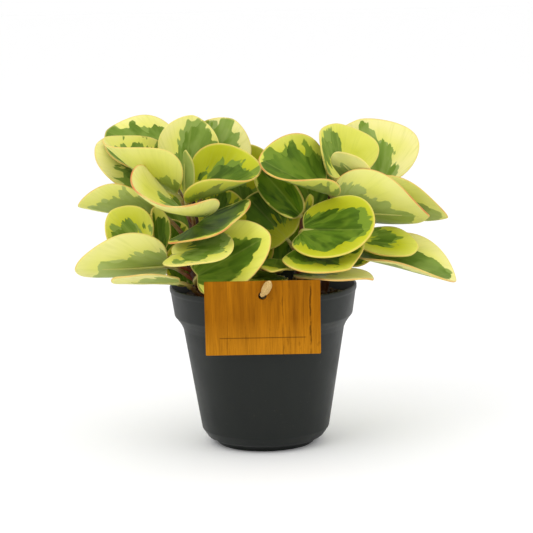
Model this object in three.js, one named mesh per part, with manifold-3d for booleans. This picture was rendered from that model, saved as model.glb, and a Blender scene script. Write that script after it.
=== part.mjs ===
// A variegated peperomia in its plastic nursery pot, with a wooden tag hung on the front.
// Millimetres, +Z up. The origin is the centre of the pot's flat underside, and the tag faces -Y.
import * as THREE from "three";
import { mergeVertices } from "three/addons/utils/BufferGeometryUtils.js";
import Module from "manifold-3d";

const wasm = await Module();
wasm.setup();

// Driving sizes: a 12 cm pot, 103 mm tall, with soil to 9 mm below its rim.
const RIM_RADIUS = 60;
const POT_HEIGHT = 103;
const WALL = 1.3;
const COLLAR_HEIGHT = 84;
const COLLAR_RADIUS = 57.2;
const SHOULDER_HEIGHT = 75.5;
const SHOULDER_RADIUS = 51.7;
const WAIST_HEIGHT = 9.5;
const WAIST_RADIUS = 41;
const FOOT_RADIUS = 31;
const FLOOR_THICKNESS = 2.4;
const DRAIN_HOLES = 6;
const DRAIN_RADIUS = 2.5;
const DRAIN_CIRCLE = 23;
const SOIL_TOP = 94;
const SOIL_RELIEF = 0.9;
const SOIL_LUMP_WIDTH = 3;
const SOIL_RINGS = [46, 31, 15];
const CLEARANCE = 0.3;
const TOUCH_GAP = CLEARANCE + 0.1;

// The leaves are fleshy: one thickness all over, each on a round stalk that ends as the blade's keel.
const LEAF_THICKNESS = 1.2;
const STALK_RADIUS = 1.4;
const STALK_RISE = 0.2;
const KEEL_DEPTH = STALK_RADIUS * 0.6;
const KEEL_START = 0.04;
const KEEL_END = 0.2;

// Where a leaf's row says nothing else: the widest place, as a share of the length from the base,
// how sharp the two ends are, and how far the lobes run back beside the stalk.
const BELLY = 0.5;
const BASE_SHARPNESS = 0.42;
const POINT = 0.62;
const LOBES = 0.05;

// The card hangs on the peg by its hole and leans on the pot's collar.
const CARD_WIDTH = 71;
const CARD_HEIGHT = 47.5;
const CARD_THICKNESS = 0.9;
const CARD_CORNER = 0.8;
const CARD_LEAN = THREE.MathUtils.degToRad(8);
const CARD_HOLE_RADIUS = 2.5;
const CARD_HOLE_BELOW_TOP = 9.5;
const CARD_HOLE_PLACE = [-0.5, -60.8, 105.5];

// The peg stands in the soil, bends over the rim and comes out through the hole.
const PEG_RADIUS = 1.5;
const PEG_ROUTE = [
  [0, -47, 82], [0, -50, 94], [-0.2, -55, 103], [-0.4, -59, 105.8], [-0.4, -62.5, 106.4], [1, -66, 109],
];
const PEG_HEAD_PLACE = [2.2, -67, 111];
const PEG_HEAD_LENGTH = 11.5;
const PEG_HEAD_RADIUS = 2.7;
const PEG_HEAD_WAY = [0.32, -0.62, 0.72];

// How finely the round shapes are cut into flats.
const POT_SEGMENTS = 36;
const STEM_SIDES = 8;
const STEM_STEPS = 12;
const PEG_STEPS = 14;
const STALK_SIDES = 5;
const STALK_STEPS = 4;
const HOLE_SIDES = 12;
const BLADE_SECTORS = 18;
const BLADE_RINGS = [0.55, 1];

const LOOKS = {
  pot: { color: "#2e302f", roughness: 0.45, metalness: 0 },
  soil: { color: "#2a1c10", roughness: 1, metalness: 0 },
  card: { color: "#a5690f", roughness: 0.7, metalness: 0 },
  peg: { color: "#ba944c", roughness: 0.8, metalness: 0 },
  stem: { color: "#4a2410", roughness: 0.5, metalness: 0 },
  leaf: { color: "#b9c045", roughness: 0.4, metalness: 0 },
};

// Stems: the points that each passes, from inside the soil up, and its radius.
const STEMS = {
  left: { radius: 3.2, route: [[-28, 4, 76], [-32, 4, 100], [-41, 3, 128], [-46, 2, 158]] },
  left_front: { radius: 2.8, route: [[-34, -14, 76], [-37, -15, 96], [-44, -17, 114], [-48, -18, 128]] },
  right: { radius: 3.2, route: [[20, -6, 76], [22, -7, 100], [25, -9, 122], [27, -10, 144]] },
  right_back: { radius: 3.2, route: [[34, 14, 76], [40, 14, 100], [46, 12, 130], [46, 8, 162]] },
  middle_back: { radius: 3, route: [[-4, 30, 76], [-4, 32, 100], [-3, 36, 130], [-4, 36, 152]] },
};

// Leaves, each row chosen by eye. from: how high on its stem the stalk leaves it.
// base and tip: the two ends of the blade. face: the way its upper side looks.
// curl: how far each side curls up, in degrees. bow: how far the midrib bends up from base to tip.
// twist: how far the blade turns about its midrib from base to tip. The lengths are shares of the blade's
// own: belly where it is widest, lobes how far it runs back beside the stalk. point: how sharp the tip is.
const LEAVES = [
  { name: "left_01", stem: "left", from: 152, base: [-55, 30, 179], tip: [-101, 38, 199],
    width: 50, face: [1, -8, 9], curl: 20, bow: -15 },
  { name: "left_02", stem: "left", from: 142, base: [-60, 28, 168], tip: [-107, 32, 192],
    width: 52, face: [-1, -6, 9], curl: 10, bow: 5 },
  { name: "left_03", stem: "left", from: 146, base: [-54, -4, 163], tip: [-99, -6, 199],
    width: 72, face: [5, 0, 9], curl: 86, bow: 30, belly: 0.4, twist: 25, lobes: 0.1 },
  { name: "left_04", stem: "left", from: 156, base: [-49, 8, 173], tip: [-43, 13, 211],
    width: 40, face: [1, -9, 3], curl: 15, bow: 10 },
  { name: "left_05", stem: "left", from: 148, base: [-35, 17, 172], tip: [-17, 26, 207],
    width: 42, face: [1, -9, 3], curl: 12, bow: 10 },
  { name: "left_06", stem: "left", from: 149, base: [-43, -9, 162], tip: [1, -22, 179],
    width: 66, face: [-2, -4, 9], curl: 85, bow: 20, belly: 0.4, lobes: 0.2 },
  { name: "left_07", stem: "left", from: 138, base: [-46, -20, 153], tip: [-69, -64, 166],
    width: 74, face: [3, -1, 9], curl: 66, bow: 25 },
  { name: "left_08", stem: "left", from: 128, base: [-68, 8, 149], tip: [-118, 11, 155],
    width: 52, face: [-2, 4, 9], curl: 62, bow: 20 },
  { name: "left_09", stem: "left_front", from: 120, base: [-74, -20, 131], tip: [-95, -16, 154],
    width: 34, face: [1, -9, 4], curl: 35, bow: 25 },
  { name: "left_10", stem: "left_front", from: 109, base: [-60, -20, 119], tip: [-118, -26, 119],
    width: 54, face: [-1, 8, 9], curl: 45, bow: 5, belly: 0.4 },
  { name: "left_11", stem: "left_front", from: 97, base: [-52, -29, 110], tip: [-95, -33, 112],
    width: 24, face: [0, 4, 9], curl: 20, bow: 5 },
  { name: "left_12", stem: "left", from: 126, base: [-42, -12, 143], tip: [-20, -58, 148],
    width: 60, face: [-4, -1, 9], curl: 20, bow: 15 },
  { name: "left_13", stem: "left_front", from: 115, base: [-56, -36, 128], tip: [-18, -57, 133],
    width: 40, face: [-1, -4, 9], curl: 12, bow: -10, belly: 0.55, lobes: 0.3 },
  { name: "left_14", stem: "left_front", from: 103, base: [-41, -33, 114], tip: [5, -46, 141],
    width: 46, face: [0, -8, 6], curl: 12, bow: 5, lobes: 0.2 },
  { name: "left_15", stem: "left", from: 143, base: [-47.5, -10, 161], tip: [-47, -10, 191],
    width: 14, face: [7, 6, 2], curl: 60, bow: 10 },
  { name: "left_16", stem: "left_front", from: 118, base: [-65, -9, 127], tip: [-67, -6, 155],
    width: 18, face: [7, -8, 1], curl: 60, bow: 10 },
  { name: "left_17", stem: "left", from: 110, base: [-60, 40, 118], tip: [-88, 64, 124],
    width: 40, face: [1, -3, 9], curl: 25, bow: 10 },
  { name: "left_18", stem: "left", from: 124, base: [-31, 14, 132], tip: [-19, 19, 161],
    width: 35, face: [0, -9, 3], curl: 20, bow: 10 },
  { name: "left_19", stem: "left", from: 114, base: [-64, 12, 121], tip: [-70, 18, 144],
    width: 40, face: [1, -8, 4], curl: 20, bow: 5 },
  { name: "left_20", stem: "left", from: 105, base: [-27, 24, 106], tip: [-27, 38, 126],
    width: 34, face: [0, -8, 6], curl: 20, bow: 5 },
  { name: "left_21", stem: "left", from: 103, base: [-48, -5, 103], tip: [-52, -3, 132],
    width: 27, face: [1, -9, 4], curl: 20, bow: 5 },
  { name: "left_22", stem: "left", from: 134, base: [-48, 34, 131], tip: [-54, 56, 167],
    width: 44, face: [0, -8, 5], curl: 25, bow: 10 },
  { name: "right_01", stem: "right_back", from: 142, base: [42, -5, 163], tip: [-1, -24, 186],
    width: 67, face: [3, -5, 9], curl: 75, bow: 15, belly: 0.4, twist: 25, lobes: 0.15 },
  { name: "right_02", stem: "right_back", from: 156, base: [53, 15, 168], tip: [49, 25, 203],
    width: 56, face: [6, -8, 2], curl: 55, bow: 15 },
  { name: "right_03", stem: "right_back", from: 151, base: [76, 33, 161], tip: [65, 43, 204],
    width: 70, face: [2, -9, 3], curl: 12, bow: 10 },
  { name: "right_04", stem: "right_back", from: 130, base: [48, 0, 150], tip: [106, -16, 147],
    width: 64, face: [-2, 9, 9], curl: 55, bow: 5, belly: 0.38, point: 0.85, lobes: 0.12 },
  { name: "right_05", stem: "right_back", from: 146, base: [68, 12, 157], tip: [120, 10, 142],
    width: 40, face: [1, 6, 6], curl: 35, bow: -5, belly: 0.3, point: 0.75 },
  { name: "right_06", stem: "right", from: 126, base: [26, -24, 141], tip: [69, -49, 143],
    width: 54, face: [-1, -8, 9], curl: 15, bow: 5, belly: 0.54, lobes: 0.3 },
  { name: "right_07", stem: "right", from: 136, base: [25, -9, 148], tip: [-4, 2, 181],
    width: 24, face: [-5, -9, 2], curl: 30, bow: 10 },
  { name: "right_08", stem: "right", from: 120, base: [16, 3, 131], tip: [-9, 12, 158],
    width: 46, face: [-2, -9, 4], curl: 12, bow: 5 },
  { name: "right_09", stem: "right", from: 108, base: [24, -20, 129], tip: [54, -58, 121],
    width: 57, face: [-1, -3, 9], curl: 20, bow: 5, point: 0.8 },
  { name: "right_10", stem: "right", from: 102, base: [22, -24, 112], tip: [68, -47, 112],
    width: 44, face: [0, 0, 9], curl: 6, bow: -10 },
  { name: "right_11", stem: "right_back", from: 112, base: [61, -4, 122], tip: [123, -14, 105],
    width: 54, face: [2, -3, 9], curl: 52, bow: -10 },
  { name: "right_12", stem: "right_back", from: 120, base: [62, -7, 131], tip: [99, -13, 126],
    width: 31, face: [2, -6, 9], curl: 20, bow: 5 },
  { name: "right_13", stem: "right_back", from: 150, base: [69, -6, 164], tip: [46, -10, 187],
    width: 27, face: [4, 6, 5], curl: 20, bow: 10 },
  { name: "right_14", stem: "right", from: 134, base: [29, -6, 142], tip: [31, -5, 161],
    width: 7, face: [-2, -9, 2], curl: 50, bow: 10 },
  { name: "right_15", stem: "right_back", from: 139, base: [60, 36, 152], tip: [84, 62, 172],
    width: 42, face: [-1, -8, 6], curl: 25, bow: 10 },
  { name: "right_16", stem: "right_back", from: 140, base: [33, 16, 149], tip: [26, 26, 174],
    width: 38, face: [0, -8, 4], curl: 25, bow: 10 },
  { name: "right_17", stem: "right_back", from: 112, base: [52, 19, 112], tip: [61, 27, 132],
    width: 37, face: [0, -8, 5], curl: 20, bow: 5 },
  { name: "right_18", stem: "right_back", from: 130, base: [46, 40, 144], tip: [52, 84, 154],
    width: 44, face: [0, -2, 9], curl: 25, bow: 10 },
  { name: "right_19", stem: "right_back", from: 130, base: [80, 34, 139], tip: [112, 56, 146],
    width: 38, face: [-1, -4, 9], curl: 25, bow: 10 },
  { name: "middle_01", stem: "right", from: 114, base: [9, -14, 120], tip: [6, -50, 119],
    width: 30, face: [1, -3, 9], curl: 8, bow: 5 },
  { name: "middle_02", stem: "right", from: 96, base: [11, -20, 111], tip: [-14, -46, 112],
    width: 32, face: [0, -2, 9], curl: 10, bow: 0 },
  { name: "middle_03", stem: "middle_back", from: 144, base: [-6, 40, 156], tip: [-9, 34, 190],
    width: 36, face: [0, -9, 3], curl: 20, bow: 10 },
  { name: "middle_04", stem: "middle_back", from: 142, base: [-10, 22, 144], tip: [-18, 26, 178],
    width: 44, face: [0, -9, 2], curl: 20, bow: 10 },
  { name: "middle_05", stem: "middle_back", from: 120, base: [13, 26, 128], tip: [22, 35, 158],
    width: 40, face: [0, -9, 4], curl: 20, bow: 5 },
  { name: "middle_06", stem: "middle_back", from: 108, base: [14, 12, 112], tip: [24, 22, 142],
    width: 42, face: [0, -9, 4], curl: 20, bow: 5 },
  { name: "middle_07", stem: "middle_back", from: 104, base: [-8, 6, 108], tip: [-16, 10, 134],
    width: 40, face: [0, -9, 2], curl: 15, bow: 5 },
  { name: "middle_08", stem: "middle_back", from: 132, base: [-4, 52, 142], tip: [-6, 94, 154],
    width: 48, face: [0, -3, 9], curl: 25, bow: 10 },
];

// One closed body from a geometry, ready to be joined or cut.
function solid(geometry) {
  const plain = geometry.clone();
  plain.deleteAttribute("normal");
  plain.deleteAttribute("uv");
  const merged = mergeVertices(plain, 1e-4);
  return new wasm.Manifold(new wasm.Mesh({
    numProp: 3,
    vertProperties: new Float32Array(merged.attributes.position.array),
    triVerts: new Uint32Array(merged.index.array),
  }));
}

function geometryOf(body) {
  const mesh = body.getMesh();
  const geometry = new THREE.BufferGeometry();
  geometry.setAttribute("position", new THREE.BufferAttribute(mesh.vertProperties, 3));
  geometry.setIndex(new THREE.BufferAttribute(mesh.triVerts, 1));
  return geometry;
}

// A shape turned about the pot's upright axis. The outline is [radius, height], from axis to axis.
function turned(outline, segments) {
  const points = outline.map(([radius, height]) => new THREE.Vector2(radius, height));
  return new THREE.LatheGeometry(points, segments).rotateX(Math.PI / 2);
}

function ring(radius, sides) {
  const points = [];
  for (let side = 0; side < sides; side += 1) {
    const angle = (2 * Math.PI * side) / sides;
    points.push(new THREE.Vector2(radius * Math.cos(angle), radius * Math.sin(angle)));
  }
  return points;
}

function vector(place) {
  return place.isVector3 ? place.clone() : new THREE.Vector3(...place);
}

// A round rod of one radius that passes the given places.
function rod(places, radius, sides, steps) {
  const route = new THREE.CatmullRomCurve3(places.map(vector));
  return new THREE.ExtrudeGeometry(new THREE.Shape(ring(radius, sides)), { steps, extrudePath: route });
}

function piece(name, geometry, look) {
  const mesh = new THREE.Mesh(geometry, new THREE.MeshStandardMaterial(LOOKS[look]));
  mesh.name = name;
  return mesh;
}

// The pot's outside: a foot, a rounded waist, a straight taper, a shoulder and the collar.
function potOutside() {
  return [
    [0, 0],
    [FOOT_RADIUS - 1, 0],
    [FOOT_RADIUS, 1],
    [FOOT_RADIUS + 1.4, 2.6],
    [WAIST_RADIUS - 3.6, 4.8],
    [WAIST_RADIUS - 0.7, 7.4],
    [WAIST_RADIUS + 0.1, WAIST_HEIGHT + 0.8],
    [SHOULDER_RADIUS, SHOULDER_HEIGHT],
    [SHOULDER_RADIUS + 1.6, SHOULDER_HEIGHT + 3.4],
    [COLLAR_RADIUS - 1.6, COLLAR_HEIGHT - 1.9],
    [COLLAR_RADIUS, COLLAR_HEIGHT],
    [RIM_RADIUS - 0.6, POT_HEIGHT - 4],
    [RIM_RADIUS, POT_HEIGHT - 3],
    [RIM_RADIUS, POT_HEIGHT - 0.4],
    [RIM_RADIUS - 0.4, POT_HEIGHT],
  ];
}

// The inside, from the rim down to the middle of the floor, a wall's thickness further in.
function potInside() {
  return [
    [RIM_RADIUS - WALL, POT_HEIGHT],
    [COLLAR_RADIUS - WALL, COLLAR_HEIGHT + 0.8],
    [COLLAR_RADIUS - WALL - 1.6, COLLAR_HEIGHT - 1.2],
    [SHOULDER_RADIUS - WALL, SHOULDER_HEIGHT + 0.6],
    [WAIST_RADIUS - WALL, WAIST_HEIGHT + 2],
    [FOOT_RADIUS, FLOOR_THICKNESS + 3],
    [FOOT_RADIUS - 3, FLOOR_THICKNESS],
    [0, FLOOR_THICKNESS],
  ];
}

function drainHole(index) {
  const angle = (2 * Math.PI * (index + 0.5)) / DRAIN_HOLES;
  return new THREE.CylinderGeometry(DRAIN_RADIUS, DRAIN_RADIUS, 4 * FLOOR_THICKNESS, HOLE_SIDES)
    .rotateX(Math.PI / 2)
    .translate(DRAIN_CIRCLE * Math.cos(angle), DRAIN_CIRCLE * Math.sin(angle), 0);
}

function pot() {
  let body = solid(turned([...potOutside(), ...potInside()], POT_SEGMENTS));
  for (let index = 0; index < DRAIN_HOLES; index += 1) {
    body = body.subtract(solid(drainHole(index)));
  }
  return piece("pot", geometryOf(body), "pot");
}

function stemRod(stem, extra) {
  return rod(stem.route, stem.radius + extra, STEM_SIDES, STEM_STEPS);
}

// The soil's outline follows the pot's inside, a narrow gap away from it.
function soilOutline() {
  const wall = COLLAR_RADIUS - WALL - TOUCH_GAP;
  const flare = (RIM_RADIUS - COLLAR_RADIUS) / (POT_HEIGHT - COLLAR_HEIGHT);
  return [
    [0, FLOOR_THICKNESS + TOUCH_GAP],
    [FOOT_RADIUS - 3.4, FLOOR_THICKNESS + TOUCH_GAP],
    [FOOT_RADIUS - 0.6, FLOOR_THICKNESS + 3 + TOUCH_GAP],
    [WAIST_RADIUS - WALL - TOUCH_GAP, WAIST_HEIGHT + 2.6],
    [SHOULDER_RADIUS - WALL - TOUCH_GAP, SHOULDER_HEIGHT + 0.9],
    [wall - 1.6, COLLAR_HEIGHT - 0.8],
    [wall, COLLAR_HEIGHT + 1.2],
    [wall + flare * (SOIL_TOP - COLLAR_HEIGHT), SOIL_TOP - 1.5],
    ...SOIL_RINGS.map((radius) => [radius, SOIL_TOP]),
    [0, SOIL_TOP],
  ];
}

// Soil fills the pot up to SOIL_TOP. Its top is uneven, and each stem and the peg has a plain hole in it.
function soil() {
  const geometry = turned(soilOutline(), POT_SEGMENTS);
  const place = geometry.attributes.position;
  for (let index = 0; index < place.count; index += 1) {
    if (place.getZ(index) > SOIL_TOP - 1) {
      const across = place.getX(index) / SOIL_LUMP_WIDTH;
      const away = place.getY(index) / SOIL_LUMP_WIDTH;
      place.setZ(index, SOIL_TOP + SOIL_RELIEF * Math.sin(across) * Math.cos(away));
    }
  }
  let body = solid(geometry);
  const rods = [...Object.values(STEMS).map((stem) => stemRod(stem, TOUCH_GAP)), pegShaft(TOUCH_GAP)];
  for (const standing of rods) {
    body = body.subtract(solid(standing.translate(0, 0, -CLEARANCE)));
  }
  return piece("potting_soil", geometryOf(body), "soil");
}

function card() {
  const left = -CARD_WIDTH / 2;
  const right = CARD_WIDTH / 2;
  const top = CARD_HOLE_BELOW_TOP;
  const bottom = top - CARD_HEIGHT;
  const outline = new THREE.Shape();
  outline.moveTo(left + CARD_CORNER, bottom);
  outline.lineTo(right - CARD_CORNER, bottom);
  outline.lineTo(right, bottom + CARD_CORNER);
  outline.lineTo(right, top - CARD_CORNER);
  outline.lineTo(right - CARD_CORNER, top);
  outline.lineTo(left + CARD_CORNER, top);
  outline.lineTo(left, top - CARD_CORNER);
  outline.lineTo(left, bottom + CARD_CORNER);
  outline.holes.push(new THREE.Path(ring(CARD_HOLE_RADIUS, 16)));
  const sheet = new THREE.ExtrudeGeometry(outline, { depth: CARD_THICKNESS, bevelEnabled: false });
  const mesh = piece("tag_card", sheet, "card");
  mesh.rotation.x = Math.PI / 2 + CARD_LEAN;
  mesh.position.set(...CARD_HOLE_PLACE);
  return mesh;
}

function pegShaft(extra) {
  return rod(PEG_ROUTE, PEG_RADIUS + extra, STEM_SIDES, PEG_STEPS);
}

function peg() {
  const head = new THREE.SphereGeometry(PEG_HEAD_RADIUS, 10, 8);
  head.scale(1, PEG_HEAD_LENGTH / (2 * PEG_HEAD_RADIUS), 1);
  const way = vector(PEG_HEAD_WAY).normalize();
  head.applyQuaternion(new THREE.Quaternion().setFromUnitVectors(new THREE.Vector3(0, 1, 0), way));
  head.translate(...PEG_HEAD_PLACE);
  return piece("tag_peg", geometryOf(solid(pegShaft(0)).add(solid(head))), "peg");
}

// The blade's own directions, and the two radii that it is bent to: along its midrib and across it.
function bladeForm(leaf) {
  const base = vector(leaf.base);
  const ahead = vector(leaf.tip).sub(base);
  const length = ahead.length();
  ahead.normalize();
  const up = vector(leaf.face).addScaledVector(ahead, -vector(leaf.face).dot(ahead)).normalize();
  const side = new THREE.Vector3().crossVectors(ahead, up);
  const bow = THREE.MathUtils.degToRad(leaf.bow || 1);
  const curlRadius = leaf.width / 2 / THREE.MathUtils.degToRad(leaf.curl);
  const twist = THREE.MathUtils.degToRad(leaf.twist ?? 0);
  return { base, ahead, up, side, length, bow, bowRadius: length / (2 * Math.sin(bow / 2)), curlRadius, twist };
}

// A place on the blade: along is 0 at the base and 1 at the tip, across is in mm from the midrib,
// and above is the height over the middle of the blade's thickness.
function bladePoint(form, along, across, above) {
  const turn = (along - 0.5) * form.bow;
  const twist = (along - 0.5) * form.twist;
  const square = form.up.clone().multiplyScalar(Math.cos(turn)).addScaledVector(form.ahead, -Math.sin(turn));
  const up = square.clone().multiplyScalar(Math.cos(twist)).addScaledVector(form.side, -Math.sin(twist));
  const side = form.side.clone().multiplyScalar(Math.cos(twist)).addScaledVector(square, Math.sin(twist));
  const roll = across / form.curlRadius;
  const rise = form.bowRadius * (Math.cos(form.bow / 2) - Math.cos(turn));
  return form.base.clone()
    .addScaledVector(form.ahead, form.length / 2 + form.bowRadius * Math.sin(turn))
    .addScaledVector(form.up, rise)
    .addScaledVector(side, (form.curlRadius - above) * Math.sin(roll))
    .addScaledVector(up, form.curlRadius * (1 - Math.cos(roll)) + above * Math.cos(roll));
}

// Half the blade's width: round at the base, widest at the belly, and more or less pointed at the tip.
function halfWidth(leaf, along) {
  const stretch = Math.log(0.5) / Math.log(leaf.belly ?? BELLY);
  const sharpness = BASE_SHARPNESS + ((leaf.point ?? POINT) - BASE_SHARPNESS) * along;
  return (leaf.width / 2) * Math.sin(Math.PI * Math.min(along, 1) ** stretch) ** sharpness;
}

// The margin, from the base round by the tip. On each side of the base it runs back a little, in a lobe.
function marginPlace(leaf, angle) {
  const share = 0.5 - 0.5 * Math.cos(angle);
  const lobe = (leaf.lobes ?? LOBES) * Math.abs(Math.sin(angle)) * (1 - share) ** 2;
  return [share - lobe, Math.sign(Math.sin(angle)) * halfWidth(leaf, share)];
}

function blade(leaf, form) {
  const places = [[0.5, 0]];
  for (const reach of BLADE_RINGS) {
    for (let sector = 0; sector < BLADE_SECTORS; sector += 1) {
      const [along, across] = marginPlace(leaf, (2 * Math.PI * sector) / BLADE_SECTORS);
      places.push([0.5 + (along - 0.5) * reach, sector % (BLADE_SECTORS / 2) ? across * reach : 0]);
    }
  }
  const vertices = [];
  for (const above of [LEAF_THICKNESS / 2, -LEAF_THICKNESS / 2]) {
    for (const [along, across] of places) {
      vertices.push(...bladePoint(form, along, across, above).toArray());
    }
  }
  const under = places.length;
  const faces = [];
  const bothFaces = (a, b, c) => faces.push(a, b, c, under + a, under + c, under + b);
  for (let sector = 0; sector < BLADE_SECTORS; sector += 1) {
    const next = (sector + 1) % BLADE_SECTORS;
    bothFaces(0, 1 + sector, 1 + next);
    for (let level = 1; level < BLADE_RINGS.length; level += 1) {
      const inner = 1 + (level - 1) * BLADE_SECTORS;
      const outer = inner + BLADE_SECTORS;
      bothFaces(inner + sector, outer + sector, outer + next);
      bothFaces(inner + sector, outer + next, inner + next);
    }
    const rim = 1 + (BLADE_RINGS.length - 1) * BLADE_SECTORS;
    faces.push(under + rim + sector, under + rim + next, rim + next);
    faces.push(under + rim + sector, rim + next, rim + sector);
  }
  const geometry = new THREE.BufferGeometry();
  geometry.setAttribute("position", new THREE.Float32BufferAttribute(vertices, 3));
  geometry.setIndex(faces);
  return geometry;
}

// Where a stem's middle is at a given height.
function stemPlace(stem, height) {
  const route = new THREE.CatmullRomCurve3(stem.route.map(vector));
  let low = 0;
  let high = 1;
  for (let round = 0; round < 30; round += 1) {
    const middle = (low + high) / 2;
    if (route.getPoint(middle).z < height) low = middle;
    else high = middle;
  }
  return route.getPoint(low);
}

// The stalk leaves the middle of the stem outward, runs in line with the blade and ends as its keel.
function stalk(leaf, form) {
  const start = stemPlace(STEMS[leaf.stem], leaf.from);
  const outward = form.base.clone().sub(start).setZ(0).normalize().setZ(STALK_RISE).normalize();
  const reach = start.distanceTo(form.base) / 3;
  const ahead = bladePoint(form, KEEL_START, 0, 0).sub(form.base).normalize();
  const sweep = new THREE.CubicBezierCurve3(
    start,
    start.clone().addScaledVector(outward, reach),
    form.base.clone().addScaledVector(ahead, -reach),
    bladePoint(form, KEEL_START, 0, -KEEL_DEPTH),
  );
  const keelEnd = bladePoint(form, KEEL_END, 0, -KEEL_DEPTH);
  return rod([...sweep.getPoints(4), keelEnd], STALK_RADIUS, STALK_SIDES, STALK_STEPS);
}

// A blade and its stalk in one body, which stops just short of the stem.
function leaf(row) {
  const form = bladeForm(row);
  const grown = solid(blade(row, form)).add(solid(stalk(row, form)));
  const body = grown.subtract(solid(stemRod(STEMS[row.stem], CLEARANCE)));
  return piece(`leaf_${row.name}`, geometryOf(body), "leaf");
}

function stems() {
  return Object.entries(STEMS).map(([name, stem]) => piece(`stem_${name}`, stemRod(stem, 0), "stem"));
}

const plant = new THREE.Group();
plant.add(pot(), soil(), card(), peg(), ...stems(), ...LEAVES.map(leaf));

export default plant;
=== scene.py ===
# A variegated peperomia in its plastic nursery pot, with a wooden tag pegged to the front.
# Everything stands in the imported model's frame: metres, +Z up, the tag on the -Y side.
# Sizes below are in millimetres, and become metres where a mesh is made.
import math
import random
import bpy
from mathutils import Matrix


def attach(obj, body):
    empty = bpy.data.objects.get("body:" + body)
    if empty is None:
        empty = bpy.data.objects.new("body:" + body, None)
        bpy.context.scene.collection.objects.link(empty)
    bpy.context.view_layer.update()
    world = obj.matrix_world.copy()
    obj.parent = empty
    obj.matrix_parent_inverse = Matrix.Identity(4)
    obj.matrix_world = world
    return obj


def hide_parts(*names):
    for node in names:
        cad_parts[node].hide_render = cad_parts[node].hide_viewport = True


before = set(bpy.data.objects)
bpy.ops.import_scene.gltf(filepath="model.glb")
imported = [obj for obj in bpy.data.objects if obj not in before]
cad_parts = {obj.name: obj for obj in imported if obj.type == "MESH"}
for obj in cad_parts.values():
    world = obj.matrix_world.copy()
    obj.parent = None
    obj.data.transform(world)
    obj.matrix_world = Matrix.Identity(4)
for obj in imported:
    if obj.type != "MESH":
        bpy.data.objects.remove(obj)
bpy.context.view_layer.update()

from types import SimpleNamespace

import bmesh
import bpy
import numpy as np
from mathutils import Matrix, Vector, noise
from mathutils.geometry import interpolate_bezier

MM = 0.001

# The camera that took the photograph.
CAMERA_PLACE = (2.4, -1235, 305)
CAMERA_AIM = (2.4, 0, 114)
CAMERA_ROLL = math.radians(1.1)
CAMERA_LENS = 131.6

# The pot: a 12 cm one, 103 mm tall.
RIM_RADIUS = 60
POT_HEIGHT = 103
WALL = 1.3
COLLAR_HEIGHT = 84
COLLAR_RADIUS = 57.2
SHOULDER_HEIGHT = 75.5
SHOULDER_RADIUS = 51.7
WAIST_HEIGHT = 9.5
WAIST_RADIUS = 41
FOOT_RADIUS = 31
FLOOR_THICKNESS = 2.4
DRAIN_HOLES = 6
DRAIN_RADIUS = 2.5
DRAIN_CIRCLE = 23
POT_SECTORS = 144

# The peat fills the pot to 9 mm below the rim.
SOIL_TOP = 94
SOIL_RELIEF = 1.3
CRUMBS = 620
CRUMB_SEED = 11
CRUMB_SIZES = (0.5, 0.7, 0.9, 1.3, 1.9)
CRUMB_SPREAD = 56
ROOT_BIT_SIZE = (4.2, 0.45, 0.4)

# The tag: a thin card that hangs by its hole on a wooden peg.
CARD_WIDTH = 71
CARD_HEIGHT = 47.5
CARD_THICKNESS = 0.9
CARD_CORNER = 0.8
CARD_LEAN = math.radians(8)
CARD_HOLE_RADIUS = 2.5
CARD_HOLE_BELOW_TOP = 9.5
CARD_HOLE_PLACE = (-0.5, -60.8, 105.5)
CRACKS = [(29.3, 0.8, 0.9), (12.4, 0.5, 0.6), (16.5, 0.4, 0.3), (25, 0.35, 0.35), (-22, 0.4, 0.35)]
RULE_HEIGHT = -27
RULE_MIDDLE = -0.3
RULE_HALF_LENGTH = 27
RULE_HALF_WIDTH = 0.55
PALE_START = -15
PALE_END = -33
PALE_SHARE = 0.6
PEG_RADIUS = 1.5
PEG_ROUTE = [
    (0, -47, 82), (0, -50, 94), (-0.2, -55, 103), (-0.4, -59, 105.8), (-0.4, -62.5, 106.4), (1, -66, 109),
]
PEG_HEAD_PLACE = (2.2, -67, 111)
PEG_HEAD_LENGTH = 11.5
PEG_HEAD_RADIUS = 2.7
PEG_HEAD_WAY = (0.32, -0.62, 0.72)

# The leaves are fleshy: one thickness all over, each on a round stalk.
LEAF_THICKNESS = 1.2
STALK_RADIUS = 1.4
STALK_FOOT = 1.15
STALK_TOP = 0.8
STALK_RISE = 0.2
STALK_STEPS = 18
STALK_SIDES = 12
KEEL_SPOTS = (0.12, 0.2, 0.3, 0.4, 0.5, 0.6, 0.7)
KEEL_START = 0.04
KEEL_DEPTH = STALK_RADIUS * 0.6
BELLY = 0.5
BASE_SHARPNESS = 0.42
POINT = 0.62
LOBES = 0.05
MIDRIB_DEPTH = 0.3
MARGIN_WAVE = 0.6
BLADE_SECTORS = 80
BLADE_RINGS = [math.sin(math.pi / 2 * ring / 19) for ring in range(1, 20)]
FAN_BACK = 4
FAN_DEEP = 20
FAR_SHARE = 0.2
FAN_DIRECTIONS = (-75, -50, -25, 0, 25, 50, 75)

# Stems: the points that each passes, from inside the soil up, and its radius.
STEMS = {
    "left": dict(radius=3.2, route=[(-28, 4, 76), (-32, 4, 100), (-41, 3, 128), (-46, 2, 158)]),
    "left_front": dict(
        radius=2.8, route=[(-34, -14, 76), (-37, -15, 96), (-44, -17, 114), (-48, -18, 128)],
    ),
    "right": dict(radius=3.2, route=[(20, -6, 76), (22, -7, 100), (25, -9, 122), (27, -10, 144)]),
    "right_back": dict(radius=3.2, route=[(34, 14, 76), (40, 14, 100), (46, 12, 130), (46, 8, 162)]),
    "middle_back": dict(radius=3, route=[(-4, 30, 76), (-4, 32, 100), (-3, 36, 130), (-4, 36, 152)]),
}

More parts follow.
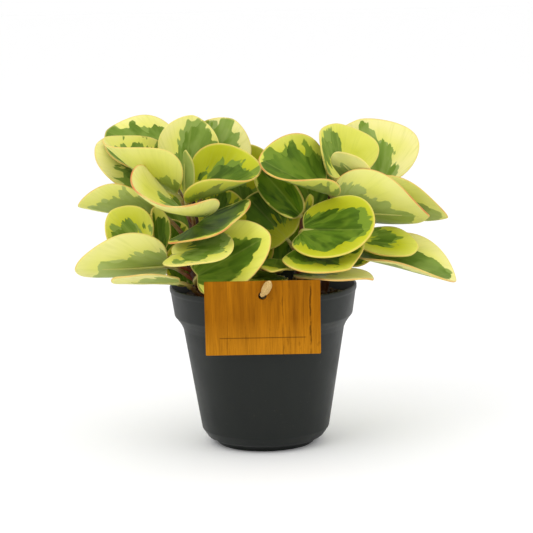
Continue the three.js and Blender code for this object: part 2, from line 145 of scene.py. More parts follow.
# Leaves. The front ones follow the photograph's places, at depths chosen one by one.
# start: how high on its stem the stalk leaves it.
# base and tip: the two ends of the blade. face: the way its upper side looks.
# curl: how far each side curls up, in degrees. bow: how far the midrib bends up from base to tip.
# twist: how far the blade turns about its midrib. lobes: how far it runs back beside the stalk.
# green: how far the green fans out from the leaf's base, as shares of the way to the margin, in the seven
# FAN_DIRECTIONS. clear: how much stays yellow round the base, in mm.
# deep: how dark the green is, partly the leaf's own tone and partly painted shade (high on the shaded
# leaves inside the plant, low on the lit ones on top). pale: how creamy the yellow is, also partly its own
# tone and partly painted light and shade (high on the lit leaves on top, low on the shaded ones inside).
# red: how red the margin is.
LEAVES = {
    "left_01": dict(
        stem="left", start=152, base=(-55, 30, 179), tip=(-101, 38, 199),
        face=(1, -8, 9), width=50, curl=20, bow=-15,
        green=(1.1, 1.1, 1.1, 1.05, 0.75, 0.6, 0.5), deep=0.45, pale=0.75, red=0.7,
    ),
    "left_02": dict(
        stem="left", start=142, base=(-60, 28, 168), tip=(-107, 32, 192),
        face=(-1, -6, 9), width=52, curl=10, bow=5,
        green=(0.7, 0.75, 0.75, 0.5, 0.35, 0.3, 0.3), deep=0.55, pale=0.8, red=0.3,
    ),
    "left_03": dict(
        stem="left", start=146, base=(-54, -4, 163), tip=(-99, -6, 199),
        face=(5, 0, 9), width=72, curl=86, bow=30, belly=0.4, twist=25, lobes=0.1,
        green=(0.5, 0.45, 0.3, 0.75, 0.95, 1, 1), deep=0.35, pale=0.6, red=0.4,
    ),
    "left_04": dict(
        stem="left", start=156, base=(-49, 8, 173), tip=(-43, 13, 211),
        face=(1, -9, 3), width=40, curl=15, bow=10,
        green=(0.4, 0.4, 0.35, 0.85, 0.9, 0.85, 0.6), deep=0.3, pale=0.7, red=0.1,
    ),
    "left_05": dict(
        stem="left", start=148, base=(-35, 17, 172), tip=(-17, 26, 207),
        face=(1, -9, 3), width=42, curl=12, bow=10,
        green=(0.8, 0.9, 0.95, 0.95, 0.6, 0.5, 0.5), deep=0.05, pale=0.9, red=0.4,
    ),
    "left_06": dict(
        stem="left", start=149, base=(-43, -9, 162), tip=(1, -22, 179),
        face=(-2, -4, 9), width=66, curl=85, bow=20, belly=0.4, lobes=0.2,
        green=(0.3, 0.5, 0.8, 0.93, 0.85, 0.7, 0.6), clear=14, deep=0.75, pale=0.2, red=0.5,
    ),
    "left_07": dict(
        stem="left", start=138, base=(-46, -20, 153), tip=(-69, -64, 166),
        face=(3, -1, 9), width=74, curl=66, bow=25,
        green=(0.45, 0.45, 0.4, 0.4, 0.4, 0.4, 0.4), deep=0.2, pale=0.75, red=0.9,
    ),
    "left_08": dict(
        stem="left", start=128, base=(-68, 8, 149), tip=(-118, 11, 155),
        face=(-2, 4, 9), width=52, curl=62, bow=20,
        green=(0.8, 0.8, 0.75, 0.75, 0.7, 0.6, 0.6), deep=0.25, pale=0.6, red=0.6,
    ),
    "left_09": dict(
        stem="left_front", start=120, base=(-74, -20, 131), tip=(-95, -16, 154),
        face=(1, -9, 4), width=34, curl=35, bow=25,
        green=(0.75, 0.75, 0.7, 0.65, 0.6, 0.6, 0.6), clear=12, deep=0.4, pale=0.35, red=0.3,
    ),
    "left_10": dict(
        stem="left_front", start=109, base=(-60, -20, 119), tip=(-118, -26, 119),
        face=(-1, 8, 9), width=54, curl=45, bow=5, belly=0.4,
        green=(0.4, 0.4, 0.5, 0.8, 0.9, 0.9, 0.9), deep=0.12, pale=0.78, red=0.3,
    ),
    "left_11": dict(
        stem="left_front", start=97, base=(-52, -29, 110), tip=(-95, -33, 112),
        face=(0, 4, 9), width=24, curl=20, bow=5,
        green=(0.6, 0.6, 0.6, 0.6, 0.6, 0.6, 0.6), deep=0.3, pale=0.85, red=0.5,
    ),
    "left_12": dict(
        stem="left", start=126, base=(-42, -12, 143), tip=(-20, -58, 148),
        face=(-4, -1, 9), width=60, curl=20, bow=15,
        green=(0.8, 0.85, 0.85, 0.85, 0.85, 0.85, 0.8), deep=0.85, pale=0.5, red=0.9,
    ),
    "left_13": dict(
        stem="left_front", start=115, base=(-56, -36, 128), tip=(-18, -57, 133),
        face=(-1, -4, 9), width=40, curl=12, bow=-10, belly=0.55, lobes=0.3,
        green=(1, 1, 1, 0.9, 0.8, 0.65, 0.4), clear=14, deep=0.3, pale=0.6, red=0.2,
    ),
    "left_14": dict(
        stem="left_front", start=103, base=(-41, -33, 114), tip=(5, -46, 141),
        face=(0, -8, 6), width=46, curl=12, bow=5, lobes=0.2,
        green=(0.35, 0.35, 0.42, 0.98, 0.62, 0.5, 0.45), deep=0.8, pale=0.5, red=0.5,
    ),
    "left_15": dict(
        stem="left", start=143, base=(-47.5, -10, 161), tip=(-47, -10, 191),
        face=(7, 6, 2), width=14, curl=60, bow=10,
        green=(1.4, 1.4, 1.4, 1.4, 1.4, 1.4, 1.4), deep=0.45, pale=0.1, red=0.1,
    ),
    "left_16": dict(
        stem="left_front", start=118, base=(-65, -9, 127), tip=(-67, -6, 155),
        face=(7, -8, 1), width=18, curl=60, bow=10,
        green=(0.8, 0.8, 0.8, 0.8, 0.8, 0.8, 0.8), deep=0.85, pale=0.5, red=0.3,
    ),
    "left_17": dict(
        stem="left", start=110, base=(-60, 40, 118), tip=(-88, 64, 124),
        face=(1, -3, 9), width=40, curl=25, bow=10,
        green=(0.6, 0.5, 0.7, 0.7, 0.6, 0.5, 0.4), deep=0.6, pale=0.5, red=0.5,
    ),
    "left_18": dict(
        stem="left", start=124, base=(-31, 14, 132), tip=(-19, 19, 161),
        face=(0, -9, 3), width=35, curl=20, bow=10,
        green=(0.8, 0.7, 0.8, 0.8, 0.7, 0.7, 0.6), deep=0.85, pale=0.2, red=0.4,
    ),
    "left_19": dict(
        stem="left", start=114, base=(-64, 12, 121), tip=(-70, 18, 144),
        face=(1, -8, 4), width=40, curl=20, bow=5,
        green=(0.8, 0.8, 0.8, 0.8, 0.8, 0.8, 0.8), deep=0.9, pale=0.3, red=0.4,
    ),
    "left_20": dict(
        stem="left", start=105, base=(-27, 24, 106), tip=(-27, 38, 126),
        face=(0, -8, 6), width=34, curl=20, bow=5,
        green=(0.8, 0.8, 0.8, 0.8, 0.8, 0.8, 0.8), deep=0.9, pale=0.2, red=0.4,
    ),
    "left_21": dict(
        stem="left", start=103, base=(-48, -5, 103), tip=(-52, -3, 132),
        face=(1, -9, 4), width=27, curl=20, bow=5,
        green=(0.9, 0.9, 0.8, 0.8, 0.8, 0.8, 0.8), deep=0.9, pale=0.2, red=0.4,
    ),
    "left_22": dict(
        stem="left", start=134, base=(-48, 34, 131), tip=(-54, 56, 167),
        face=(0, -8, 5), width=44, curl=25, bow=10,
        green=(0.5, 0.6, 0.8, 0.6, 0.4, 0.5, 0.4), deep=0.5, pale=0.5, red=0.5,
    ),
    "right_01": dict(
        stem="right_back", start=142, base=(42, -5, 163), tip=(-1, -24, 186),
        face=(3, -5, 9), width=67, curl=75, bow=15, belly=0.4, twist=25, lobes=0.15,
        green=(0.75, 0.8, 0.9, 0.95, 0.8, 0.75, 0.7), deep=0.8, pale=0.4, red=0.8,
    ),
    "right_02": dict(
        stem="right_back", start=156, base=(53, 15, 168), tip=(49, 25, 203),
        face=(6, -8, 2), width=56, curl=55, bow=15,
        green=(0.7, 0.8, 0.85, 0.75, 0.25, 0.15, 0.1), clear=14, deep=0.45, pale=0.5, red=0.3,
    ),
    "right_03": dict(
        stem="right_back", start=151, base=(76, 33, 161), tip=(65, 43, 204),
        face=(2, -9, 3), width=70, curl=12, bow=10,
        green=(0.3, 0.4, 0.55, 0.9, 0.6, 0.4, 0.3), deep=0.1, pale=0.95, red=0.4,
    ),
    "right_04": dict(
        stem="right_back", start=130, base=(48, 0, 150), tip=(106, -16, 147),
        face=(-2, 9, 9), width=64, curl=55, bow=5, belly=0.38, point=0.85, lobes=0.12,
        green=(0.9, 0.9, 0.85, 0.8, 0.6, 0.55, 0.5), deep=0.15, pale=0.7, red=1,
    ),
    "right_05": dict(
        stem="right_back", start=146, base=(68, 12, 157), tip=(120, 10, 142),
        face=(1, 6, 6), width=40, curl=35, bow=-5, belly=0.3, point=0.75,
        green=(1.1, 1.1, 1.1, 0.85, 0.45, 0.35, 0.3), deep=0.5, pale=0.6, red=0.6,
    ),
    "right_06": dict(
        stem="right", start=126, base=(26, -24, 141), tip=(69, -49, 143),
        face=(-1, -8, 9), width=54, curl=15, bow=5, belly=0.54, lobes=0.3,
        green=(0.25, 0.35, 0.75, 0.93, 0.75, 0.6, 0.5), deep=0.85, pale=0.15, red=0.3,
    ),
    "right_07": dict(
        stem="right", start=136, base=(25, -9, 148), tip=(-4, 2, 181),
        face=(-5, -9, 2), width=24, curl=30, bow=10,
        green=(0.85, 0.85, 0.9, 0.9, 0.9, 0.75, 0.7), deep=0.95, pale=0.45, red=0.3,
    ),
    "right_08": dict(
        stem="right", start=120, base=(16, 3, 131), tip=(-9, 12, 158),
        face=(-2, -9, 4), width=46, curl=12, bow=5,
        green=(0.3, 0.4, 0.7, 1, 1, 1, 0.9), clear=16, deep=0.9, pale=0.1, red=0.2,
    ),
    "right_09": dict(
        stem="right", start=108, base=(24, -20, 129), tip=(54, -58, 121),
        face=(-1, -3, 9), width=57, curl=20, bow=5, point=0.8,
        green=(0.8, 0.8, 0.85, 0.8, 0.65, 0.55, 0.5), deep=0.9, pale=0.3, red=0.5,
    ),
    "right_10": dict(
        stem="right", start=102, base=(22, -24, 112), tip=(68, -47, 112),
        face=(0, 0, 9), width=44, curl=6, bow=-10,
        green=(0.5, 0.6, 0.5, 0.5, 0.4, 0.4, 0.4), deep=0.35, pale=0.85, red=0.8,
    ),
    "right_11": dict(
        stem="right_back", start=112, base=(61, -4, 122), tip=(123, -14, 105),
        face=(2, -3, 9), width=54, curl=52, bow=-10,
        green=(0.3, 0.4, 0.65, 0.95, 0.8, 0.7, 0.6), deep=0.4, pale=0.75, red=0.6,
    ),
    "right_12": dict(
        stem="right_back", start=120, base=(62, -7, 131), tip=(99, -13, 126),
        face=(2, -6, 9), width=31, curl=20, bow=5,
        green=(0.4, 0.7, 0.85, 0.6, 0.15, 0.1, 0.2), clear=8, deep=0.7, pale=0.35, red=0.4,
    ),
    "right_13": dict(
        stem="right_back", start=150, base=(69, -6, 164), tip=(46, -10, 187),
        face=(4, 6, 5), width=27, curl=20, bow=10,
        green=(0.1, 0.1, 0.2, 0.7, 1, 0.9, 0.8), clear=10, deep=0.2, pale=0.8, red=0.2,
    ),
    "right_14": dict(
        stem="right", start=134, base=(29, -6, 142), tip=(31, -5, 161),
        face=(-2, -9, 2), width=7, curl=50, bow=10,
        green=(0.6, 0.6, 0.6, 0.6, 0.6, 0.6, 0.6), deep=0.6, pale=0.2, red=0.2,
    ),
    "right_15": dict(
        stem="right_back", start=139, base=(60, 36, 152), tip=(84, 62, 172),
        face=(-1, -8, 6), width=42, curl=25, bow=10,
        green=(0.5, 0.6, 0.7, 0.6, 0.5, 0.5, 0.4), deep=0.5, pale=0.5, red=0.5,
    ),
    "right_16": dict(
        stem="right_back", start=140, base=(33, 16, 149), tip=(26, 26, 174),
        face=(0, -8, 4), width=38, curl=25, bow=10,
        green=(0.9, 0.9, 0.9, 0.9, 0.9, 0.9, 0.9), deep=0.8, pale=0.3, red=0.4,
    ),
    "right_17": dict(
        stem="right_back", start=112, base=(52, 19, 112), tip=(61, 27, 132),
        face=(0, -8, 5), width=37, curl=20, bow=5,
        green=(0.6, 0.6, 0.8, 0.7, 0.6, 0.6, 0.6), deep=0.8, pale=0.2, red=0.4,
    ),
    "right_18": dict(
        stem="right_back", start=130, base=(46, 40, 144), tip=(52, 84, 154),
        face=(0, -2, 9), width=44, curl=25, bow=10,
        green=(0.4, 0.6, 0.7, 0.5, 0.5, 0.5, 0.4), deep=0.5, pale=0.5, red=0.5,
    ),
    "right_19": dict(
        stem="right_back", start=130, base=(80, 34, 139), tip=(112, 56, 146),
        face=(-1, -4, 9), width=38, curl=25, bow=10,
        green=(0.5, 0.5, 0.6, 0.6, 0.4, 0.5, 0.4), deep=0.4, pale=0.6, red=0.5,
    ),
    "middle_01": dict(
        stem="right", start=114, base=(9, -14, 120), tip=(6, -50, 119),
        face=(1, -3, 9), width=30, curl=8, bow=5,
        green=(0.75, 0.75, 0.8, 0.8, 0.8, 0.75, 0.75), deep=0.85, pale=0.35, red=0.3,
    ),
    "middle_02": dict(
        stem="right", start=96, base=(11, -20, 111), tip=(-14, -46, 112),
        face=(0, -2, 9), width=32, curl=10, bow=0,
        green=(0.7, 0.7, 0.7, 0.7, 0.7, 0.7, 0.7), deep=0.65, pale=0.45, red=0.5,
    ),
    "middle_03": dict(
        stem="middle_back", start=144, base=(-6, 40, 156), tip=(-9, 34, 190),
        face=(0, -9, 3), width=36, curl=20, bow=10,
        green=(0.6, 0.6, 0.5, 0.4, 0.5, 0.6, 0.6), deep=0.6, pale=0.3, red=0.2,
    ),
    "middle_04": dict(
        stem="middle_back", start=142, base=(-10, 22, 144), tip=(-18, 26, 178),
        face=(0, -9, 2), width=44, curl=20, bow=10,
        green=(0.6, 0.6, 0.8, 0.7, 0.6, 0.6, 0.5), deep=0.75, pale=0.2, red=0.4,
    ),
    "middle_05": dict(
        stem="middle_back", start=120, base=(13, 26, 128), tip=(22, 35, 158),
        face=(0, -9, 4), width=40, curl=20, bow=5,
        green=(0.7, 0.7, 0.8, 0.8, 0.7, 0.7, 0.6), deep=0.85, pale=0.1, red=0.4,
    ),
    "middle_06": dict(
        stem="middle_back", start=108, base=(14, 12, 112), tip=(24, 22, 142),
        face=(0, -9, 4), width=42, curl=20, bow=5,
        green=(0.7, 0.7, 0.8, 0.8, 0.7, 0.7, 0.6), deep=0.95, pale=0.1, red=0.4,
    ),
    "middle_07": dict(
        stem="middle_back", start=104, base=(-8, 6, 108), tip=(-16, 10, 134),
        face=(0, -9, 2), width=40, curl=15, bow=5,
        green=(0.7, 0.7, 0.8, 0.8, 0.7, 0.7, 0.6), deep=0.95, pale=0.1, red=0.4,
    ),
    "middle_08": dict(
        stem="middle_back", start=132, base=(-4, 52, 142), tip=(-6, 94, 154),
        face=(0, -3, 9), width=48, curl=25, bow=10,
        green=(0.5, 0.5, 0.7, 0.6, 0.5, 0.5, 0.4), deep=0.5, pale=0.5, red=0.5,
    ),
}


def rgb(code):
    """A colour as the screen shows it, from its hex code to the linear values that a shader takes."""
    values = [int(code[place:place + 2], 16) / 255 for place in (1, 3, 5)]
    return tuple(v / 12.92 if v <= 0.04045 else ((v + 0.055) / 1.055) ** 2.4 for v in values) + (1,)


def metres(values):
    """Millimetres as metres."""
    return np.asarray(values, float) * MM


def mesh_object(name, points, faces, smooth=True):
    """An object from points in mm and faces, at the origin."""
    mesh = bpy.data.meshes.new(name)
    mesh.from_pydata(metres(points).tolist(), [], faces)
    mesh.update()
    for polygon in mesh.polygons:
        polygon.use_smooth = smooth
    piece = bpy.data.objects.new(name, mesh)
    bpy.context.collection.objects.link(piece)
    return piece


def write_numbers(piece, name, values):
    """Keeps one number, or three, for each point of a piece, for its material to read."""
    values = np.asarray(values, np.float32)
    kind = "FLOAT" if values.ndim == 1 else "FLOAT_VECTOR"
    field = "value" if values.ndim == 1 else "vector"
    attribute = piece.data.attributes.new(name, kind, "POINT")
    attribute.data.foreach_set(field, values.ravel())


def settle(piece, slot, *nodes):
    """Puts a piece on the plant's one body, in place of the plain solids that it stands for."""
    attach(piece, "root")
    if nodes:
        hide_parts(*nodes)
    return piece


# Shapes

def smooth_route(places, steps=10):
    """Places along a smooth curve that passes the given ones."""
    points = [Vector(place) for place in places]
    points = [2 * points[0] - points[1], *points, 2 * points[-1] - points[-2]]
    route = []
    for before, start, end, after in zip(points, points[1:], points[2:], points[3:]):
        leave = start + (end - before) / 6
        arrive = end - (after - start) / 6
        stretch = interpolate_bezier(start, leave, arrive, end, steps + 1)
        route += stretch if end is points[-2] else stretch[:-1]
    return route


def dome(end, way, radius, angles):
    """The rings of a round end: the middle, the radius and the way of each."""
    turns = [math.radians(angle) for angle in angles]
    return [(end + way * radius * math.sin(turn), radius * math.cos(turn), way) for turn in turns]


def sweep(path, radii, sides):
    """A closed round rod with domed ends that follows the path."""
    last = len(path) - 1
    ways = [(path[min(i + 1, last)] - path[max(i - 1, 0)]).normalized() for i in range(last + 1)]
    stations = dome(path[0], ways[0], radii[0], (-65, -35))
    stations += list(zip(path, radii, ways))
    stations += dome(path[-1], ways[-1], radii[-1], (35, 65))
    points = [path[0] - ways[0] * radii[0]]
    across = ways[0].orthogonal().normalized()
    way_before = ways[0]
    for centre, radius, way in stations:
        across = way_before.rotation_difference(way) @ across
        way_before = way
        beside = way.cross(across)
        for side in range(sides):
            angle = 2 * math.pi * side / sides
            points.append(centre + (across * math.cos(angle) + beside * math.sin(angle)) * radius)
    points.append(path[-1] + ways[-1] * radii[-1])
    return points, closed_rings(len(stations), sides, len(points) - 1)


def closed_rings(rings, sides, end_pole):
    """Faces of a body of rings that are numbered from 1, between pole 0 and the end pole."""
    faces = []
    for side in range(sides):
        after = (side + 1) % sides
        faces.append((0, 1 + after, 1 + side))
        for ring in range(rings - 1):
            low = 1 + ring * sides
            high = low + sides
            faces.append((low + side, low + after, high + after, high + side))
        top = 1 + (rings - 1) * sides
        faces.append((end_pole, top + side, top + after))
    return faces


def turned(outline, sectors):
    """A body turned about the pot's axis. The outline is (radius, height), from axis to axis."""
    points = [(0, 0, outline[0][1])]
    for radius, height in outline[1:-1]:
        for sector in range(sectors):
            angle = 2 * math.pi * sector / sectors
            points.append((radius * math.cos(angle), radius * math.sin(angle), height))
    points.append((0, 0, outline[-1][1]))
    return points, closed_rings(len(outline) - 2, sectors, len(points) - 1)


def rounded(outline, radius):
    """The outline with each inner corner rounded off by a short curve."""
    points = [Vector((place[0], place[1], 0)) for place in outline]
    smooth = [points[0]]
    for before, corner, after in zip(points, points[1:], points[2:]):
        cut_in = min(radius, (before - corner).length * 0.4)
        cut_out = min(radius, (after - corner).length * 0.4)
        enter = corner + (before - corner).normalized() * cut_in
        leave = corner + (after - corner).normalized() * cut_out
        smooth += interpolate_bezier(enter, enter.lerp(corner, 0.6), leave.lerp(corner, 0.6), leave, 4)
    smooth.append(points[-1])
    return [(point.x, point.y) for point in smooth]


# Leaf blades

def column(values):
    """The values as a column, to multiply a direction by."""
    return np.asarray(values)[:, None]


def blade_form(row):
    """The blade's own directions, and the two radii that it is bent to: along its midrib and across it."""
    base = np.array(row["base"], float)
    ahead = np.array(row["tip"], float) - base
    length = np.linalg.norm(ahead)
    ahead /= length
    face = np.array(row["face"], float)
    up = face - face.dot(ahead) * ahead
    up /= np.linalg.norm(up)
    bow = math.radians(row["bow"] or 1)
    return SimpleNamespace(
        base=base, ahead=ahead, up=up, side=np.cross(ahead, up), length=length, bow=bow,
        bow_radius=length / (2 * math.sin(bow / 2)),
        twist=math.radians(row.get("twist", 0)),
        curl_radius=row["width"] / 2 / math.radians(row["curl"]),
    )


def blade_points(form, along, across, above):
    """Places on the blade. along is 0 at the base and 1 at the tip; across and above are in mm."""
    turn = (along - 0.5) * form.bow
    twist = (along - 0.5) * form.twist
    square = column(np.cos(turn)) * form.up - column(np.sin(turn)) * form.ahead
    up = column(np.cos(twist)) * square - column(np.sin(twist)) * form.side
    side = column(np.cos(twist)) * form.side + column(np.sin(twist)) * square
    roll = across / form.curl_radius
    return (
        form.base
        + column(form.length / 2 + form.bow_radius * np.sin(turn)) * form.ahead
        + column(form.bow_radius * (math.cos(form.bow / 2) - np.cos(turn))) * form.up
        + column((form.curl_radius - above) * np.sin(roll)) * side
        + column(form.curl_radius * (1 - np.cos(roll)) + above * np.cos(roll)) * up
    )


def blade_place(form, along, above):
    """One place over the midrib."""
    return Vector(blade_points(form, np.array([along]), np.zeros(1), np.array([above]))[0])


def half_width(row, along):
    """Half the blade's width: round at the base, widest at the belly, more or less pointed at the tip."""
    stretch = math.log(0.5) / math.log(row.get("belly", BELLY))
    sharpness = BASE_SHARPNESS + (row.get("point", POINT) - BASE_SHARPNESS) * along
    return row["width"] / 2 * np.abs(np.sin(math.pi * np.clip(along, 0, 1) ** stretch)) ** sharpness


def blade_outline(row, sectors):
    """The margin, all the way round from the base, as shares along and mm across."""
    angle = 2 * math.pi * np.arange(sectors) / sectors
    share = 0.5 - 0.5 * np.cos(angle)
    lobe = row.get("lobes", LOBES) * np.abs(np.sin(angle)) * (1 - share) ** 2
    across = np.sign(np.sin(angle)) * half_width(row, share)
    across[0] = across[sectors // 2] = 0
    return share - lobe, across, angle


def margin_distance(row, form, along, across):
    """How far each place is from the margin, in mm."""
    edge, edge_across, _ = blade_outline(row, 240)
    apart_along = column(along * form.length) - edge * form.length
    apart_across = column(across) - edge_across
    return np.sqrt(apart_along ** 2 + apart_across ** 2).min(axis=1)


def green_depth(row, ahead, across, margin_ahead, margin_across):
    """How deep each place is inside the green, in mm. The green fans out from just behind the base."""
    direction = np.degrees(np.arctan2(across, ahead))
    distance = np.hypot(across, ahead)
    far = margin_ahead > FAR_SHARE * margin_ahead.max()
    margin_direction = np.degrees(np.arctan2(margin_across, margin_ahead))[far]
    margin_distances = np.hypot(margin_across, margin_ahead)[far]
    order = np.argsort(margin_direction)
    to_margin = np.interp(direction, margin_direction[order], margin_distances[order])
    reach = np.interp(direction, FAN_DIRECTIONS, row["green"])
    return np.minimum(reach * to_margin - distance, distance - FAN_BACK - row.get("clear", -FAN_DEEP))


def blade(row, form, seed):
    """A fleshy blade: both faces, with a round margin, a groove over the midrib and a waved edge."""
    edge, edge_across, angle = blade_outline(row, BLADE_SECTORS)
    rings = len(BLADE_RINGS)
    reach = np.repeat([0, *BLADE_RINGS], [1] + [BLADE_SECTORS] * rings)
    along = 0.5 + (np.concatenate([[0.5], np.tile(edge, rings)]) - 0.5) * reach
    across = np.concatenate([[0], np.tile(edge_across, rings)]) * reach
    around = np.concatenate([[0], np.tile(angle, rings)])
    from_margin = np.where(reach == 1, 0, margin_distance(row, form, along, across))
    inset = 1 - np.clip(from_margin / (LEAF_THICKNESS / 2), 0, 1)
    half = LEAF_THICKNESS / 2 * np.sqrt(1 - inset ** 2)
    chance = random.Random(seed)
    first, second = chance.uniform(0, 6.28), chance.uniform(0, 6.28)
    wave = MARGIN_WAVE * reach ** 3 * (np.sin(3 * around + first) + 0.6 * np.sin(5 * around + second))
    groove = MIDRIB_DEPTH * np.exp(-((across / 1.7) ** 2)) * np.clip(1.1 - along, 0, 1)
    upper = blade_points(form, along, across, wave - groove + half)
    lower = blade_points(form, along, across, wave - groove - half)
    count = len(reach)
    rim = count - BLADE_SECTORS
    ahead = along * form.length + FAN_BACK
    depth = green_depth(row, ahead, across, edge * form.length + FAN_BACK, edge_across)
    order = np.concatenate([np.arange(count), np.arange(rim)])
    numbers = dict(
        green=depth[order],
        edge=from_margin[order],
        under=np.concatenate([np.zeros(rim), np.full(BLADE_SECTORS, 0.5), np.ones(rim)]),
        fan=np.stack([ahead, across, np.full(count, seed * 7.3)], axis=1)[order],
        tint=np.tile([row["deep"], row["pale"], row["red"]], (count + rim, 1)),
    )
    return np.concatenate([upper, lower[:rim]]), blade_faces(count, rim), numbers


def blade_faces(count, rim):
    """Faces of both sides of a blade, which share the ring of points on the margin."""
    faces = []
    for sector in range(BLADE_SECTORS):
        after = (sector + 1) % BLADE_SECTORS
        faces.append((0, 1 + sector, 1 + after))
        faces.append((count, count + 1 + after, count + 1 + sector))
        for inner in range(1, rim, BLADE_SECTORS):
            outer = inner + BLADE_SECTORS
            faces.append((inner + sector, outer + sector, outer + after, inner + after))
            low_inner = count + inner
            low_outer = outer if outer == rim else count + outer
            faces.append((low_inner + after, low_outer + after, low_outer + sector, low_inner + sector))
    return faces


def stem_place(stem, height):
    """Where the middle of a stem is at a height."""
    route = smooth_route(stem["route"])
    for low, high in zip(route, route[1:]):
        if low.z <= height <= high.z:
            return low.lerp(high, (height - low.z) / (high.z - low.z))
    return route[-1]


def stalk(row, form):
    """The leaf stalk: out of the stem, in line with the blade, and on as the keel under its midrib."""
    start = stem_place(STEMS[row["stem"]], row["start"])
    base = Vector(form.base)
    outward = (base - start).xy.normalized().to_3d()
    outward.z = STALK_RISE
    outward.normalize()
    reach = (base - start).length / 3
    ahead = (blade_place(form, KEEL_START, 0) - base).normalized()
    end = blade_place(form, KEEL_START, -KEEL_DEPTH)
    path = interpolate_bezier(start, start + outward * reach, base - ahead * reach, end, STALK_STEPS)
    radii = [STALK_RADIUS * share for share in np.linspace(STALK_FOOT, STALK_TOP, STALK_STEPS)]
    for along in KEEL_SPOTS:
        path.append(blade_place(form, along, -LEAF_THICKNESS * 0.55 - MIDRIB_DEPTH * (1 - along)))
        radii.append(STALK_RADIUS * STALK_TOP * (1 - along))
    return sweep(path, radii, STALK_SIDES)


def leaf(name, row, seed):
    """One leaf: its blade and its stalk in one piece, with the numbers that their materials read."""
    form = blade_form(row)
    points, faces, numbers = blade(row, form, seed)
    stalk_points, stalk_faces = stalk(row, form)
    count = len(points)
    faces += [tuple(corner + count for corner in face) for face in stalk_faces]
    piece = mesh_object(f"leaf_{name}_blade", [*points.tolist(), *stalk_points], faces)
    piece.data.materials.append(MATERIALS["blade"])
    piece.data.materials.append(MATERIALS["stalk"])
    for polygon in piece.data.polygons:
        polygon.material_index = int(polygon.vertices[0] >= count)
    extra = len(stalk_points)
    for key, values in numbers.items():
        padding = np.zeros((extra, *values.shape[1:]))
        write_numbers(piece, key, np.concatenate([values, padding]))
    grown = np.arange(extra) // STALK_SIDES * STALK_SIDES / extra
    write_numbers(piece, "grown", np.concatenate([np.zeros(count), grown]))
    settle(piece, "leaf", f"leaf_{name}")


# Stems, soil, pot and tag

def stem(name, row):
    """A fleshy stem, a little swollen where each stalk leaves it."""
    path = smooth_route(row["route"], 14)
    heights = [leaf_row["start"] for leaf_row in LEAVES.values() if leaf_row["stem"] == name]
    swell = [sum(math.exp(-(((place.z - height) / 2.4) ** 2)) for height in heights) for place in path]
    radii = [row["radius"] * (0.96 + 0.12 * min(share, 1)) for share in swell]
    points, faces = sweep(path, radii, 24)
    piece = mesh_object(f"stem_{name}_bark", points, faces)
    piece.data.materials.append(MATERIALS["stem"])
    joint = [sum(math.exp(-(((point[2] - height) / 1.2) ** 2)) for height in heights) for point in points]
    write_numbers(piece, "joint", np.clip(joint, 0, 1))
    settle(piece, "stem", f"stem_{name}")


def pot():
    """The thin shell with its collar and foot, and the drain holes in its floor."""
    outside = [
        (0, 0),
        (FOOT_RADIUS, 0),
        (FOOT_RADIUS + 1.4, 2.6),
        (WAIST_RADIUS - 3.6, 4.8),
        (WAIST_RADIUS + 0.1, WAIST_HEIGHT + 0.8),
        (SHOULDER_RADIUS, SHOULDER_HEIGHT),
        (SHOULDER_RADIUS + 1.6, SHOULDER_HEIGHT + 3.4),
        (COLLAR_RADIUS - 1.6, COLLAR_HEIGHT - 1.9),
        (COLLAR_RADIUS, COLLAR_HEIGHT),
        (RIM_RADIUS - 0.6, POT_HEIGHT - 4),
        (RIM_RADIUS, POT_HEIGHT - 3),
        (RIM_RADIUS, POT_HEIGHT),
    ]
    inside = [
        (RIM_RADIUS - WALL, POT_HEIGHT),
        (COLLAR_RADIUS - WALL, COLLAR_HEIGHT + 0.8),
        (COLLAR_RADIUS - WALL - 1.6, COLLAR_HEIGHT - 1.2),
        (SHOULDER_RADIUS - WALL, SHOULDER_HEIGHT + 0.6),
        (WAIST_RADIUS - WALL, WAIST_HEIGHT + 2),
        (FOOT_RADIUS - 3, FLOOR_THICKNESS),
        (0, FLOOR_THICKNESS),
    ]
    points, faces = turned(rounded([*outside, *inside], 0.7), POT_SECTORS)
    piece = mesh_object("pot_shell", points, faces)
    holes = drain_cutters()
    cut = piece.modifiers.new("drain_holes", "BOOLEAN")
    cut.object = holes
    cut.solver = "EXACT"
    apply_modifiers(piece)
    bpy.data.objects.remove(holes)
    piece.data.materials.clear()
    piece.data.materials.append(MATERIALS["pot"])
    settle(piece, "pot", "pot")


def drain_cutters():
    """Short pegs, in one object, where the drain holes go through the floor."""
    points = []
    faces = []
    for index in range(DRAIN_HOLES):
        angle = 2 * math.pi * (index + 0.5) / DRAIN_HOLES
        centre = Vector((DRAIN_CIRCLE * math.cos(angle), DRAIN_CIRCLE * math.sin(angle), 0))
        path = [centre + Vector((0, 0, height)) for height in (-5, 0, 5)]
        more_points, more_faces = sweep(path, [DRAIN_RADIUS] * 3, 24)
        faces += [tuple(corner + len(points) for corner in face) for face in more_faces]
        points += more_points
    return mesh_object("drain_cutters", points, faces)


def apply_modifiers(piece):
    """Makes the modifiers' result the piece's own mesh."""
    bpy.ops.object.select_all(action="DESELECT")
    piece.select_set(True)
    bpy.context.view_layer.objects.active = piece
    for modifier in list(piece.modifiers):
        bpy.ops.object.modifier_apply(modifier=modifier.name)


